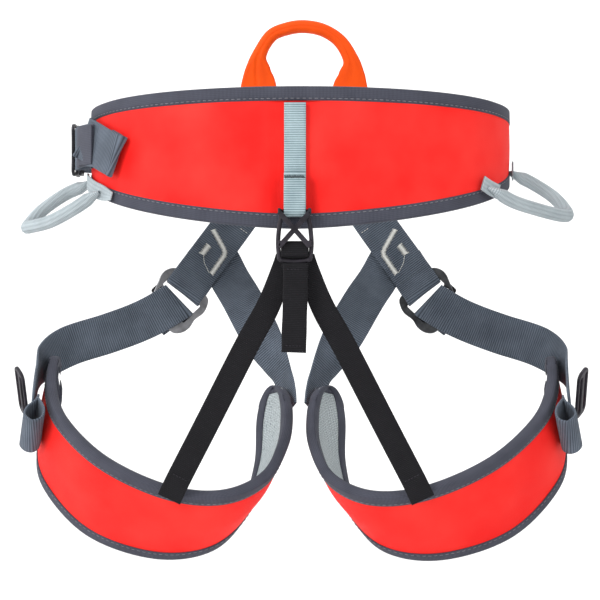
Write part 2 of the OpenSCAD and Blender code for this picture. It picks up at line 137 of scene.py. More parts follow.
ELASTIC = [p + [ELASTIC_THICK] for p in (
    [-10, -139.6, -98, 1, 0, 0, SLIM_WIDE - 6],
    [-14, -139.2, -113, 1, 0, -0.1, SLIM_WIDE - 4],
    [-27, -137, -148, 0.95, 0, -0.3, SLIM_WIDE - 1],
    [-50, -134, -190, 0.9, 0, -0.43, SLIM_WIDE],
    [-90, -128, -268, 0.9, 0, -0.43, SLIM_WIDE],
    [-118, -123.5, -322, 0.9, 0, -0.43, SLIM_WIDE],
    [-128, -121.5, -343, 0.9, 0, -0.43, SLIM_WIDE],
)]
TAIL_LEAN = [-0.2, 0.56, -0.8] + WEB
LEG_TAIL = [p + TAIL_LEAN for p in (
    [-282, -2, -259], [-284, -10, -265], [-291, -19, -271.5], [-293, -28, -278], [-288, -35, -283],
    [-281, -37, -285], [-274.5, -33, -282], [-273, -25, -276], [-275.5, -17, -270], [-281, -9, -264],
)]
LEG_UPPER = [
    [-277, 62, -197], [-273, 8, -231], [-252, -46, -266], [-202, -90, -306], [-133, -115, -335],
    [-74, -110, -342], [-30, -82, -327], [-10, -45, -294], [-7, -5, -262], [-14, 22, -235],
]
LEG_LOWER = [
    [-276, 74, -258], [-287, 34, -300], [-276, -4, -342], [-224, -38, -390], [-150, -58, -412],
    [-89, -54, -404], [-54, -28, -368], [-40, 6, -322], [-40, 38, -274], [-32, 58, -241],
]
UPRIGHT = [0, 0, 1] + WEB
BUCKLE_STRAP = [p + UPRIGHT for p in (
    [-217.5, -37, 19], [-223.5, -20, 19], [-229, -11, 19], [-236, -4, 19], [-240.5, 0, 19],
)]
FRONT_WEBBING = [p + UPRIGHT for p in (
    [-54, 122, 19], [-80, 117, 19], [-107, 108, 19], [-140, 96, 19], [-172, 83, 19], [-203, 63, 19],
    [-226, 46, 19], [-237, 33, 19], [-238, 24, 19],
)]
BELT_TAIL_FOLD = [-0.35, 0.29, -0.89] + WEB
BELT_TAIL_LEAD = [p + WEB for p in (
    [-238.5, -6.5, 19, 0, 0, -1],
    [-238.2, -10, 19, 0, 0, -1],
    [-235.5, -18, 19.5, 0, 0, -1],
    [-229, -33, 20, -0.05, 0.05, -1],
    [-219, -52, 20, -0.2, 0.18, -0.95],
    [-209, -67, 18, -0.33, 0.28, -0.9],
)]
BELT_TAIL = [p + BELT_TAIL_FOLD for p in (
    [-207, -60, 17], [-216, -46, 22], [-222, -40, 26], [-225, -42, 28], [-222, -49, 26], [-213, -61, 21],
    [-200, -78, 13], [-191, -88, 8], [-187, -90.5, 6], [-184.5, -88, 5], [-188.5, -81.5, 8],
    [-197, -70.5, 13],
)]
BACK_STRAP = [[0, HOOK_Y + y, z, 1, 0, 0, 22, 2] for y, z in (
    (5.4, 55), (5.4, 30), (5.4, -30), (4.8, -42), (4.5, HOOK_TOP), (0, HOOK_TOP - 4.5), (-4.5, HOOK_TOP),
    (-3.6, HOOK_TOP + 12), (-1, HOOK_TOP + 36), (1.6, HOOK_TOP + 37),
)]
ELASTIC_WRAP = [[0, HOOK_Y + y, z, 1, 0, 0, SLIM_WIDE + 2.5, ELASTIC_THICK] for y, z in (
    (5.2, HOOK_MID - 12), (3.8, HOOK_MID), (2.5, HOOK_MID + 2.8), (0, HOOK_MID + 3.8), (-2.5, HOOK_MID + 2.8),
    (-3.8, HOOK_MID), (-3.4, HOOK_MID - 9), (1.2, HOOK_MID - 13), (2.8, HOOK_MID - 22),
)]
GEAR_LOOP = {
    "left": [
        [-206, -63, -30], [-214, -61, -34], [-234, -50, -46], [-262, -34, -59], [-287, -14, -64],
        [-292, 4, -62], [-279, 17, -45], [-255, 20, -28], [-233, 14, -19], [-225, 10, -15],
    ],
    "right": [
        [-198, -74, -27], [-206, -74.5, -32], [-224, -63, -41], [-250, -43, -48], [-276, -20, -53],
        [-284, 0, -50], [-272, 14, -33], [-250, 16, -18], [-231, 11, -9], [-224, 8, -6],
    ],
}
GEAR_LOOP_DIA = 13
FRONT_LOOP = [
    [-52, 134.5, -2, 1, 0, 0, 43, 3],
    [-52, 136, 41, 1, 0, 0, 43, 3],
    [-52, 140, 96, 1, 0, 0.05, 42, 4],
    [-53, 142, 120, 0.98, 0, -0.2, 30, 8],
    [-51, 143, 138, 0.85, 0, -0.53, 17, 13],
    [-38, 144, FRONT_LOOP_TOP - 18, 0.7, 0, -0.71, 15, 16],
    [-20, 144, FRONT_LOOP_TOP - 10, 0.4, 0, -0.92, 15, 18],
    [0, 144, FRONT_LOOP_TOP - 7.5, 0, 0, -1, 15, 19],
    [22, 144, FRONT_LOOP_TOP - 12, -0.45, 0, -0.89, 15, 18],
    [41, 144, FRONT_LOOP_TOP - 25, -0.72, 0, -0.69, 16, 16],
    [53, 143, 131, -0.88, 0, -0.47, 19, 13],
    [54, 142, 114, -0.98, 0, -0.2, 31, 8],
    [52, 140, 92, -1, 0, 0.05, 42, 4],
    [52, 136, 41, -1, 0, 0, 43, 3],
    [52, 134.5, -2, -1, 0, 0, 43, 3],
]


# ---------------------------------------------------------------- curves and frames
def curve_at(p0, p1, p2, p3, t):
    """One point of a smooth curve from p1 to p2."""
    return 0.5 * (2 * p1 + (p2 - p0) * t + (2 * p0 - 5 * p1 + 4 * p2 - p3) * t ** 2
                  + (3 * p1 - p0 - 3 * p2 + p3) * t ** 3)


def smooth(rows, steps):
    """The rows with steps points from each to the next, on the same curve as the frame's."""
    rows = np.array(rows, float)
    last = len(rows) - 1
    out = []
    for i in range(last):
        near = [rows[min(max(i + k, 0), last)] for k in (-1, 0, 1, 2)]
        out += [curve_at(*near, k / steps) for k in range(steps)]
    return np.array(out + [rows[last]])


def unit(v):
    return v / np.maximum(np.linalg.norm(v, axis=-1, keepdims=True), 1e-9)


def headings(points):
    ahead = np.vstack([points[1:], points[-1:]])
    behind = np.vstack([points[:1], points[:-1]])
    return unit(ahead - behind)


def lengths(points):
    """Distance along a line of points up to each of them."""
    return np.concatenate([[0], np.cumsum(np.linalg.norm(np.diff(points, axis=0), axis=1))])


def respace(rows, pitch):
    """The same line with its rows an even pitch apart."""
    s = lengths(rows[:, :3])
    even = np.linspace(0, s[-1], max(3, int(round(s[-1] / pitch)) + 1))
    return np.stack([np.interp(even, s, rows[:, k]) for k in range(rows.shape[1])], axis=1)


class Strap:
    """The frames of a flat strap: points, width directions, normals, widths and thicknesses."""

    def __init__(self, route, pitch=0.8):
        rows = respace(smooth(route, 16), pitch)
        self.p = rows[:, :3]
        self.t = headings(self.p)
        raw = rows[:, 3:6]
        self.w = unit(raw - self.t * np.sum(raw * self.t, axis=1, keepdims=True))
        self.n = np.cross(self.t, self.w)
        self.wide = rows[:, 6]
        self.thick = rows[:, 7]
        self.s = lengths(self.p)

    def at(self, s, across, lift):
        """A point on the strap: s along it, across its width and lift off its middle surface."""
        pick = [np.interp(s, self.s, self.p[:, k]) + across * np.interp(s, self.s, self.w[:, k])
                + lift * np.interp(s, self.s, self.n[:, k]) for k in range(3)]
        return np.array(pick)


# ---------------------------------------------------------------- meshes
def new_object(name, verts, faces, uvs=None, mirrored=False, smooth_shade=True):
    """A mesh object from millimetre points; uvs holds one pair of metres for each point."""
    verts = np.array(verts, float) * MM
    if mirrored:
        verts[:, 0] *= -1
        faces = [list(reversed(f)) for f in faces]
    mesh = bpy.data.meshes.new(name)
    mesh.from_pydata([tuple(v) for v in verts], [], [tuple(f) for f in faces])
    if uvs is not None:
        layer = mesh.uv_layers.new(name="weave")
        index = np.empty(len(mesh.loops), np.int64)
        mesh.loops.foreach_get("vertex_index", index)
        layer.data.foreach_set("uv", (np.array(uvs, float)[index] * MM).ravel())
    mesh.polygons.foreach_set("use_smooth", [smooth_shade] * len(mesh.polygons))
    mesh.update()
    obj = bpy.data.objects.new(name, mesh)
    bpy.context.scene.collection.objects.link(obj)
    return obj


def taken(obj):
    """The mesh of an object with its modifiers or its curve worked out; the object itself is removed."""
    mesh = bpy.data.meshes.new_from_object(obj.evaluated_get(bpy.context.evaluated_depsgraph_get()))
    bpy.data.objects.remove(obj)
    return mesh


def sweep_faces(n, k):
    """Faces of a closed skin over n rings of k points."""
    faces = []
    for i in range(n - 1):
        for j in range(k):
            a, b = i * k + j, i * k + (j + 1) % k
            faces.append((a, b, b + k, a + k))
    faces.append(tuple(range(k - 1, -1, -1)))
    faces.append(tuple((n - 1) * k + j for j in range(k)))
    return faces


def swept(name, rings, around, along, material, mirrored=False):
    """A closed skin over rings, an (n, k, 3) array; around and along are its weave places."""
    n, k = rings.shape[:2]
    uvs = np.stack([np.broadcast_to(around, (n, k)), np.broadcast_to(along[:, None], (n, k))], axis=2)
    obj = new_object(name, rings.reshape(-1, 3), sweep_faces(n, k), uvs.reshape(-1, 2), mirrored)
    obj.data.materials.append(material)
    return obj


def flat_section(columns=10, corner=3):
    """Half-width and half-thickness shares around a strap with rounded edges."""
    out = []
    for side in (1, -1):
        for i in range(columns):
            out.append([side * (-1 + 2 * i / (columns - 1)), side, 0.0])
        for i in range(1, corner):
            a = math.pi / 2 - math.pi * i / corner
            out.append([side, side * math.sin(a), side * math.cos(a)])
    return np.array(out)


def laid(strap, across, up):
    """Points of a strap from their places across its width and up from its middle surface."""
    return strap.p[:, None] + across[..., None] * strap.w[:, None] + up[..., None] * strap.n[:, None]


def strap_rings(strap, lift=0.0, rib=0.0, rib_pitch=2.4, inset=1.0, cup=0.0):
    """Rings of a strap. rib is the height of the ribs of its weave, cup how far its edges curl."""
    shape = flat_section()
    across = shape[:, 0][None, :] * (strap.wide[:, None] / 2 - inset) + shape[:, 2][None, :] * inset
    half = strap.thick[:, None] / 2
    wave = rib * (np.abs(np.sin(math.pi * strap.s / rib_pitch))[:, None] - 0.6)
    up = shape[:, 1][None, :] * (half + wave) + lift
    up = up + cup * (across / (strap.wide[:, None] / 2)) ** 2
    return laid(strap, across, up)[:, ::-1, :], across[:, ::-1]


def webbing(name, strap, material, mirrored=False, **look):
    rings, across = strap_rings(strap, **look)
    return swept(name, rings, across[len(across) // 2], strap.s, material, mirrored)


def finish_piece(obj, body, slot, *nodes):
    """What a piece rides on and the CAD nodes that it stands for, which are hidden; slot is not used."""
    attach(obj, body)
    if nodes:
        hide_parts(*nodes)
    return obj


# ---------------------------------------------------------------- materials
def linear(r, g, b):
    """A display colour from 0 to 255 as the shader's own numbers."""
    shares = [c / 255 for c in (r, g, b)]
    return tuple(c / 12.92 if c <= 0.04 else ((c + 0.055) / 1.055) ** 2.4 for c in shares) + (1.0,)


class Graph:
    """A material's nodes, with short calls for the few kinds used here."""

    def __init__(self, name, roughness, sheen=0.0, metallic=0.0):
        self.material = bpy.data.materials.new(name)
        self.material.use_nodes = True
        self.tree = self.material.node_tree
        self.shader = self.tree.nodes["Principled BSDF"]
        self.shader.inputs["Roughness"].default_value = roughness
        self.shader.inputs["Metallic"].default_value = metallic
        self.shader.inputs["Sheen Weight"].default_value = sheen
        self.shader.inputs["Sheen Roughness"].default_value = 0.4
        self.shader.inputs["Specular IOR Level"].default_value = 0.5 if metallic else 0.18

    def feed(self, socket, value):
        if isinstance(value, (int, float, tuple)):
            socket.default_value = value
        else:
            self.tree.links.new(value, socket)

    def math(self, kind, a, b=0.0, c=0.0):
        node = self.tree.nodes.new("ShaderNodeMath")
        node.operation = kind
        for socket, value in zip(node.inputs, (a, b, c)):
            self.feed(socket, value)
        return node.outputs[0]

    def weave_axes(self):
        """Places across and along the weave, in metres."""
        uv = self.tree.nodes.new("ShaderNodeUVMap")
        uv.uv_map = "weave"
        split = self.tree.nodes.new("ShaderNodeSeparateXYZ")
        self.tree.links.new(uv.outputs[0], split.inputs[0])
        return split.outputs[0], split.outputs[1]

    def noise(self, scale, detail=3.0):
        where = self.tree.nodes.new("ShaderNodeTexCoord")
        node = self.tree.nodes.new("ShaderNodeTexNoise")
        node.inputs["Scale"].default_value = scale
        node.inputs["Detail"].default_value = detail
        self.tree.links.new(where.outputs["Object"], node.inputs["Vector"])
        return node.outputs["Fac"]

    def ramp(self, value, low, high):
        """value stretched so that low becomes 0 and high becomes 1."""
        node = self.tree.nodes.new("ShaderNodeMapRange")
        self.feed(node.inputs["Value"], value)
        node.inputs["From Min"].default_value = low
        node.inputs["From Max"].default_value = high
        return node.outputs["Result"]

    def mix(self, share, a, b):
        """A colour between the display colours a and b."""
        node = self.tree.nodes.new("ShaderNodeMix")
        node.data_type = "RGBA"
        self.feed(node.inputs[0], share)
        node.inputs[6].default_value = linear(*a)
        node.inputs[7].default_value = linear(*b)
        return node.outputs[2]

    def colour(self, value):
        self.feed(self.shader.inputs["Base Color"], value)

    def bump(self, height, distance):
        node = self.tree.nodes.new("ShaderNodeBump")
        node.inputs["Strength"].default_value = 1
        node.inputs["Distance"].default_value = distance
        self.tree.links.new(height, node.inputs["Height"])
        self.tree.links.new(node.outputs[0], self.shader.inputs["Normal"])

    def rows(self, place, pitch, shift=0.0):
        """Rounded ridges at a pitch in metres, from 0 to 1."""
        turned = self.math("MULTIPLY_ADD", place, math.pi / pitch, shift)
        return self.math("ABSOLUTE", self.math("SINE", turned))

    def rough(self, value):
        self.feed(self.shader.inputs["Roughness"], value)


def ribbed(name, light, dark, rib=0.0024, thread=0.0011, sheen=0.25, roughness=0.78, depth=0.0004):
    """Webbing: ribs across its width, threads along it, and faint uneven dye."""
    g = Graph(name, roughness, sheen)
    across, along = g.weave_axes()
    ribs = g.rows(along, rib)
    threads = g.rows(across, thread)
    cloth = g.math("MULTIPLY", ribs, g.math("MULTIPLY_ADD", threads, 0.45, 0.55))
    uneven = g.noise(45.0, 4.0)
    share = g.math("ADD", g.math("MULTIPLY", cloth, 0.75), g.math("MULTIPLY_ADD", uneven, 0.5, -0.12))
    g.colour(g.mix(share, dark, light))
    g.bump(cloth, depth)
    return g.material


def plain_cloth(name, light, dark, pitch=0.0009, roughness=0.62, depth=0.00018):
    """Close woven cover cloth with a fine grain, and soft broad patches between its light and dark colours,
    which on the red cloth are a lit coral tone and a shaded deep red: painted light and shade, laid out at
    random.
    """
    g = Graph(name, roughness)
    across, along = g.weave_axes()
    grain = g.math("MULTIPLY", g.rows(across, pitch), g.rows(along, pitch))
    # broad: soft patches mixing the light and dark colours, on the red cloth a painted light and shade.
    broad = g.noise(14.0, 3.0)
    fine = g.noise(260.0, 2.0)
    share = g.math("ADD", g.ramp(broad, 0.2, 0.85), g.math("MULTIPLY_ADD", grain, 0.35, -0.25))
    g.colour(g.mix(share, dark, light))
    g.bump(g.math("ADD", grain, g.math("MULTIPLY", fine, 0.7)), depth)
    return g.material


def air_mesh(name, light, dark, pitch=0.0026):
    """Knitted lining with rows of small holes."""
    g = Graph(name, 0.85, 0.3)
    across, along = g.weave_axes()
    holes = g.math("MULTIPLY", g.rows(across, pitch), g.rows(along, pitch * 0.8, 0.4))
    share = g.ramp(holes, 0.15, 0.75)
    g.colour(g.mix(share, dark, light))
    g.bump(holes, 0.0006)
    return g.material


def moulded(name, light, dark, roughness=0.42, grain=900.0):
    """Moulded nylon with a fine spark-eroded grain and dull spots."""
    g = Graph(name, roughness)
    fine = g.noise(grain, 2.0)
    worn = g.noise(60.0, 5.0)
    g.colour(g.mix(g.ramp(worn, 0.35, 0.75), dark, light))
    g.rough(g.math("MULTIPLY_ADD", worn, 0.25, roughness - 0.1))
    g.bump(fine, 0.00008)
    return g.material


def plate_metal(name, face, edge, roughness=0.32):
    """Anodised plate: dark faces, paler where its edges have rubbed bare; on the pale plate of the left leg
    buckle the face colour is instead a painted reflection of strong light from the left, and its dark edge
    colour is the plate's own black.
    """
    g = Graph(name, roughness, metallic=0.85)
    worn = g.noise(90.0, 6.0)
    shape = g.tree.nodes.new("ShaderNodeNewGeometry").outputs["Pointiness"]
    rubbed = g.ramp(g.math("MULTIPLY_ADD", worn, 0.06, shape), 0.53, 0.60)
    g.colour(g.mix(rubbed, face, edge))
    g.rough(g.math("MULTIPLY_ADD", worn, 0.3, roughness - 0.12))
    g.bump(g.noise(700.0, 2.0), 0.00004)
    return g.material


# Light colour: the coral of lit red cloth. Dark colour: the deep red of shaded cloth. Together they are
# painted light and shade, mixed in broad random patches.
RED = plain_cloth("red_cloth", (255, 62, 54), (240, 16, 12))
SLATE = ribbed("slate_webbing", (112, 122, 136), (16, 20, 26), sheen=0.1)
TAPE_CLOTH = ribbed("binding_tape", (84, 86, 98), (40, 41, 50), 0.0014, 0.0018, sheen=0.08, depth=0.0002)
BLACK = ribbed("black_elastic", (30, 29, 33), (6, 6, 8), 0.0018, 0.0013, sheen=0.05, depth=0.0003)
PALE = ribbed("pale_webbing", (186, 206, 212), (66, 90, 98), 0.0023, 0.0012, sheen=0.1)
SHEATH = ribbed("pale_sheath", (196, 206, 210), (112, 122, 128), 0.0016, 0.0042, sheen=0.08)
ORANGE = ribbed("orange_webbing", (255, 90, 0), (216, 62, 0), 0.0010, 0.0012, sheen=0.02, roughness=0.6,
                depth=0.00012)
LINING = air_mesh("mesh_liner", (214, 222, 224), (128, 138, 142))
DARK_LINING = air_mesh("belt_lining_mesh", (60, 66, 72), (22, 25, 28))
THREAD, DULL_THREAD, GREY_THREAD = (ribbed(*row, 0.0006, 0.0006, depth=0.0001) for row in (
    ("pale_thread", (248, 248, 243), (206, 206, 202)),
    ("dull_thread", (150, 150, 158), (96, 96, 104)),
    ("grey_thread", (96, 108, 112), (50, 58, 62)),
))
NYLON = moulded("black_nylon", (60, 56, 64), (30, 28, 33))
METAL = plate_metal("anodised_plate", (16, 16, 18), (130, 132, 136))
DARK_METAL = plate_metal("black_plate", (34, 34, 38), (64, 64, 68))
# The left leg buckle's pale plate: a dark anodised plate whose pale face colour is a painted reflection of
# strong light from the left.
PAINTED_REFLECTION_METAL = plate_metal("plate_painted_reflection", (176, 176, 180), (40, 40, 43))


# ---------------------------------------------------------------- the padded belt and leg pads
class Band:
    """A padded band: its upper and lower edges and its outward directions."""

    def __init__(self, upper, lower, outward, thick, tape_wide, corner, bulge):
        self.upper, self.lower, self.out = upper, lower, outward
        self.thick, self.tape_wide, self.corner, self.bulge = thick, tape_wide, corner, bulge
        self.across = unit(lower - upper)
        self.tall = np.linalg.norm(lower - upper, axis=1)
        self.s = lengths((upper + lower) / 2)

    def rise(self, v):
        """How far the middle of the band stands outside its edges, at share v across it."""
        return self.bulge * (1 - abs(2 * v - 1))

    def point(self, i, v, depth):
        line = self.upper[i] + (self.lower[i] - self.upper[i]) * v
        return line + self.out[i] * (self.rise(v) - depth)


def belt_point(angle, z, depth):
    a = math.radians(angle)
    half = BELT_HALF_FRONT if abs(angle) > 90 else BELT_HALF_BACK
    return [(BELT_HALF_WIDTH - depth) * math.sin(a), -(half - depth) * math.cos(a), z]


def belt_out(angle):
    a = math.radians(angle)
    half = BELT_HALF_FRONT if abs(angle) > 90 else BELT_HALF_BACK
    return [math.sin(a) / BELT_HALF_WIDTH, -math.cos(a) / half, 0]


def belt_band(steps=120):
    angles = np.linspace(-BELT_END_ANGLE, BELT_END_ANGLE, steps + 1)
    rise = 50 * (1 - np.cos(np.radians(angles))) ** 0.8
    upper = np.array([belt_point(a, BELT_TOP - 16 * (a / 95) ** 2, 0) for a in angles])
    lower = np.array([belt_point(a, z - BELT_BOTTOM, 0) for a, z in zip(angles, rise)])
    out = unit(np.array([belt_out(a) for a in angles]))
    return Band(upper, lower, out, BELT_THICK, BELT_TAPE_WIDE, BELT_CORNER, 0)


def leg_band(steps=10):
    upper, lower = smooth(LEG_UPPER, steps), smooth(LEG_LOWER, steps)
    t = unit(headings(upper) + headings(lower))
    out = unit(np.cross(lower - upper, t))
    return Band(upper, lower, out, LEG_THICK, LEG_TAPE_WIDE, LEG_CORNER, LEG_BULGE)


BELT = belt_band()
LEG = leg_band()


VOXEL = 0.005
PRESSURE = 4
SWELL_FRAMES = 20
UNDER_TAPE = 3
HELD_END = 8
HELD_FADE = 10


def pad_shell(band, crown, columns=16, skin=TAPE + 0.5):
    """Points of a plain closed pad inside a band, outer face first, then inner face."""
    rows = []
    for i in range(len(band.upper)):
        edge = 2.0 / band.tall[i]
        vs = np.linspace(edge, 1 - edge, columns)
        outer = [band.point(i, v, skin - crown * (1 - (2 * v - 1) ** 4)) for v in vs]
        inner = [band.point(i, v, band.thick - skin + 0.4 * crown * (1 - (2 * v - 1) ** 4)) for v in vs]
        rows.append(outer + inner[::-1])
    return np.array(rows)


def inflate(obj, held, cap):
    """Lets the pad swell as a filled cloth bag. held is each point's share that may not move."""
    rest = np.array([v.co for v in obj.data.vertices])
    group = obj.vertex_groups.new(name="held")
    for i, weight in enumerate(held):
        group.add([i], float(weight), "REPLACE")
    cloth = obj.modifiers.new("Cloth", "CLOTH")
    cloth.settings.quality = 6
    cloth.settings.use_pressure = True
    cloth.settings.uniform_pressure_force = PRESSURE
    cloth.settings.tension_stiffness = 20
    cloth.settings.compression_stiffness = 20
    cloth.settings.bending_stiffness = 0.8
    cloth.settings.vertex_group_mass = "held"
    cloth.settings.effector_weights.gravity = 0
    cloth.collision_settings.use_collision = False
    for step in range(1, SWELL_FRAMES + 1):
        bpy.context.scene.frame_set(step)
    swollen = obj.evaluated_get(bpy.context.evaluated_depsgraph_get())
    moved = np.array([v.co for v in swollen.data.vertices])
    obj.modifiers.clear()
    bpy.context.scene.frame_set(1)
    move = moved - rest
    far = np.linalg.norm(move, axis=1, keepdims=True)
    move *= np.minimum(1, cap * MM / np.maximum(far, 1e-9))
    return rest + move


def grid_tree(shell):
    tree = kdtree.KDTree(shell.shape[0] * shell.shape[1])
    for index, p in enumerate(shell.reshape(-1, 3) * MM):
        tree.insert(p, index)
    tree.balance()
    return tree


def crumple(p, size, seed):
    """Smooth uneven value from -1 to 1 for a point in metres."""
    return noise.noise(Vector(p) / size + Vector((seed, seed * 1.7, 3.1)))


def make_pad(names, band, crown, cap, press):
    """The swollen cover and its lining, as two point and face sets with weave places."""
    shell = pad_shell(band, crown)
    n, k = shell.shape[:2]
    faces = sweep_faces(n, k)
    base = new_object(names[0] + "_base", shell.reshape(-1, 3), faces)
    remesh = base.modifiers.new("Remesh", "REMESH")
    remesh.mode = "VOXEL"
    remesh.voxel_size = VOXEL
    mesh = taken(base)
    tree = grid_tree(shell)
    half = k // 2

    def places(points):
        found = np.array([tree.find(p)[1] for p in points])
        i, j = found // k, found % k
        v = np.where(j < half, j, k - 1 - j) / (half - 1)
        return i, v, j < half

    pad = bpy.data.objects.new(names[0] + "_bag", mesh)
    bpy.context.scene.collection.objects.link(pad)
    points = np.array([v.co for v in mesh.vertices])
    i, v = places(points)[:2]
    from_edge = np.minimum(v, 1 - v) * band.tall[i]
    from_end = np.minimum(band.s[i], band.s[-1] - band.s[i])
    near = np.minimum(from_edge - band.tape_wide + UNDER_TAPE, from_end - HELD_END)
    held = 1 - np.clip(near / HELD_FADE, 0, 1)
    points = inflate(pad, held, cap)
    mesh.vertices.foreach_set("co", points.ravel())
    divide = pad.modifiers.new("Divide", "SUBSURF")
    divide.levels = divide.render_levels = 1
    final = taken(pad)
    points = np.array([v.co for v in final.vertices])
    i, v, outer = places(points)
    v = np.sum((points / MM - band.upper[i]) * band.across[i], axis=1) / band.tall[i]
    s = refine(points / MM, band, i, v)
    points = points + band.out[i] * np.where(outer, press(points, v), 0)[:, None] * MM
    points = round_corners(points, s, v, band, i)
    uvs = np.stack([v * band.tall[i], s], axis=1)
    faces = [tuple(f.vertices) for f in final.polygons]
    return points / MM, uvs, faces, outer


def refine(points, band, i, v):
    """Distance along the band of points that are nearest to its stations i."""
    base = band.upper[i] + band.across[i] * (v * band.tall[i])[:, None]
    along = headings((band.upper + band.lower) / 2)[i]
    return band.s[i] + np.sum((points - base) * along, axis=1)


def split_pad(names, pad, materials, mirrored=False):
    """Two objects: the faces of the cover and those of the lining."""
    points, uvs, faces, outer = pad
    made = []
    for name, side, material in zip(names, (True, False), materials):
        mine = [f for f in faces if (sum(outer[list(f)]) * 2 >= len(f)) == side]
        used = sorted({i for f in mine for i in f})
        index = {old: new for new, old in enumerate(used)}
        obj = new_object(name, points[used], [[index[i] for i in f] for f in mine], uvs[used], mirrored)
        obj.data.materials.append(material)
        made.append(obj)
    return made


def tape_section(wide, thick, bend=3):
    """Around a folded tape: place inward from the edge and depth from the outer face."""
    mid = thick / 2
    outer = [(wide, 0.1), (wide * 0.6, -0.2), (2, -0.1)]
    for i in range(bend + 1):
        a = math.pi * i / bend
        outer.append((-TAPE * math.sin(a) * 1.6 + 0.6, mid - mid * math.cos(a)))
    outer += [(2, thick + 0.1), (wide * 0.6, thick + 0.2), (wide, thick - 0.1)]
    inner = [(x + (TAPE if x < 2 else 0), mid + (d - mid) * (mid - TAPE) / mid) for x, d in reversed(outer)]
    return outer + inner


def walk_of(section):
    """Distance around a section up to each of its points."""
    return np.cumsum([0] + [math.dist(a, b) for a, b in zip(section, section[1:])])


def corner_inset(band, away):
    """How far an edge draws back at a distance from the corner, for rounded corners."""
    r = band.corner
    left = np.clip(r - np.asarray(away, float), 0, r)
    return r - np.sqrt(r * r - left * left)


def round_corners(points, s, v, band, i):
    """Draw the points of a square corner in to a round one."""
    r = band.corner
    first = s < band.s[-1] / 2
    ds = r - np.where(first, s, band.s[-1] - s)
    dv = r - np.minimum(v, 1 - v) * band.tall[i]
    d = np.hypot(ds, dv)
    share = np.where((ds > 0) & (dv > 0) & (d > r), 1 - r / np.maximum(d, r), 0)
    along = headings((band.upper + band.lower) / 2)[i] * (ds * share * np.where(first, 1, -1))[:, None]
    down = band.across[i] * (dv * share * np.where(v < 0.5, 1, -1))[:, None]
    return points + (along + down) * MM


def edge_tape(name, band, at_top, mirrored):
    """Binding tape folded over one edge of a band."""
    inset = corner_inset(band, np.minimum(band.s, band.s[-1] - band.s))
    section = tape_section(band.tape_wide, band.thick)
    edge = band.upper if at_top else band.lower
    slope = 2 * band.bulge / band.tall
    inward = band.across * (1 if at_top else -1)
    rings = np.array([[edge[i] + inward[i] * (x + inset[i]) + band.out[i] * (slope[i] * max(x, 0) - d)
                       for x, d in section] for i in range(len(edge))])
    around = walk_of(section)
    if not at_top:
        rings, around = rings[:, ::-1], around[::-1]
    return swept(name, rings, around, lengths(edge), TAPE_CLOTH, mirrored)


END_TAPE_SHARE = 0.8


def on_band(band, from_end, at_start, v, d):
    """A place on a band by its distance from one end, which may lie just off that end."""
    at = max(from_end, 0) if at_start else band.s[-1] - max(from_end, 0)
    k = min(int(np.searchsorted(band.s, at, "right")) - 1, len(band.s) - 2)
    share = (at - band.s[k]) / (band.s[k + 1] - band.s[k])
    p = band.point(k, v, d) * (1 - share) + band.point(k + 1, v, d) * share
    outward = headings((band.upper + band.lower) / 2)[0 if at_start else -1] * (-1 if at_start else 1)
    return p + outward * max(-from_end, 0)


def end_tape(name, band, at_start, mirrored):
    """Binding tape folded over one end of a band."""
    section = tape_section(band.tape_wide * END_TAPE_SHARE, band.thick)
    tall = band.tall[0 if at_start else -1]
    shares = np.linspace(0, 1, 40)
    inset = corner_inset(band, np.minimum(shares, 1 - shares) * tall)
    rings = np.array([[on_band(band, x + draw, at_start, v, d) for x, d in section]
                      for v, draw in zip(shares, inset)])
    around = walk_of(section)
    if at_start:
        rings, around = rings[:, ::-1], around[::-1]
    return swept(name, rings, around, shares * tall, TAPE_CLOTH, mirrored)


STITCH_RING = 6
STITCH_WIDE = 0.38


def stitches(name, line, normals, material, pitch=6.0, long=3.6, mirrored=False):
    """A row of separate thread stitches along a line, each lying on the surface."""
    s = lengths(line)
    verts, faces = [], []
    profile = [(-0.5, 0.15), (-0.42, 0.8), (0, 1), (0.42, 0.8), (0.5, 0.15)]
    for start in np.arange(pitch / 2, s[-1] - long / 2, pitch):
        base = len(verts)
        a = np.array([np.interp(start, s, line[:, k]) for k in range(3)])
        b = np.array([np.interp(start + long, s, line[:, k]) for k in range(3)])
        n = unit(np.array([np.interp(start, s, normals[:, k]) for k in range(3)]))
        t = unit(b - a)
        w = np.cross(t, n)
        for place, size in profile:
            centre = (a + b) / 2 + t * place * long + n * (0.12 - 0.5 * place * place)
            for j in range(STITCH_RING):
                turn = 2 * math.pi * j / STITCH_RING
                verts.append(centre + (w * math.cos(turn) + n * math.sin(turn) * 0.7) * STITCH_WIDE * size)
        faces += [tuple(base + q for q in f) for f in sweep_faces(len(profile), STITCH_RING)]
    obj = new_object(name, verts, faces, [[0, 0.3 * i] for i in range(len(verts))], mirrored)
    obj.data.materials.append(material)
    return obj


STITCH_IN = 2.2
STITCH_PROUD = 0.25


def tape_stitches(name, band, at_top, mirrored, inner=False):
    """The stitch row near the free edge of a binding tape."""
    edge = band.upper if at_top else band.lower
    x = band.tape_wide - STITCH_IN
    slope = (2 * band.bulge / band.tall)[:, None]
    depth = band.thick + STITCH_PROUD if inner else -STITCH_PROUD
    line = edge + band.across * (x if at_top else -x) + band.out * (slope * x - depth)
    return stitches(name, line, -band.out if inner else band.out, DULL_THREAD, mirrored=mirrored)


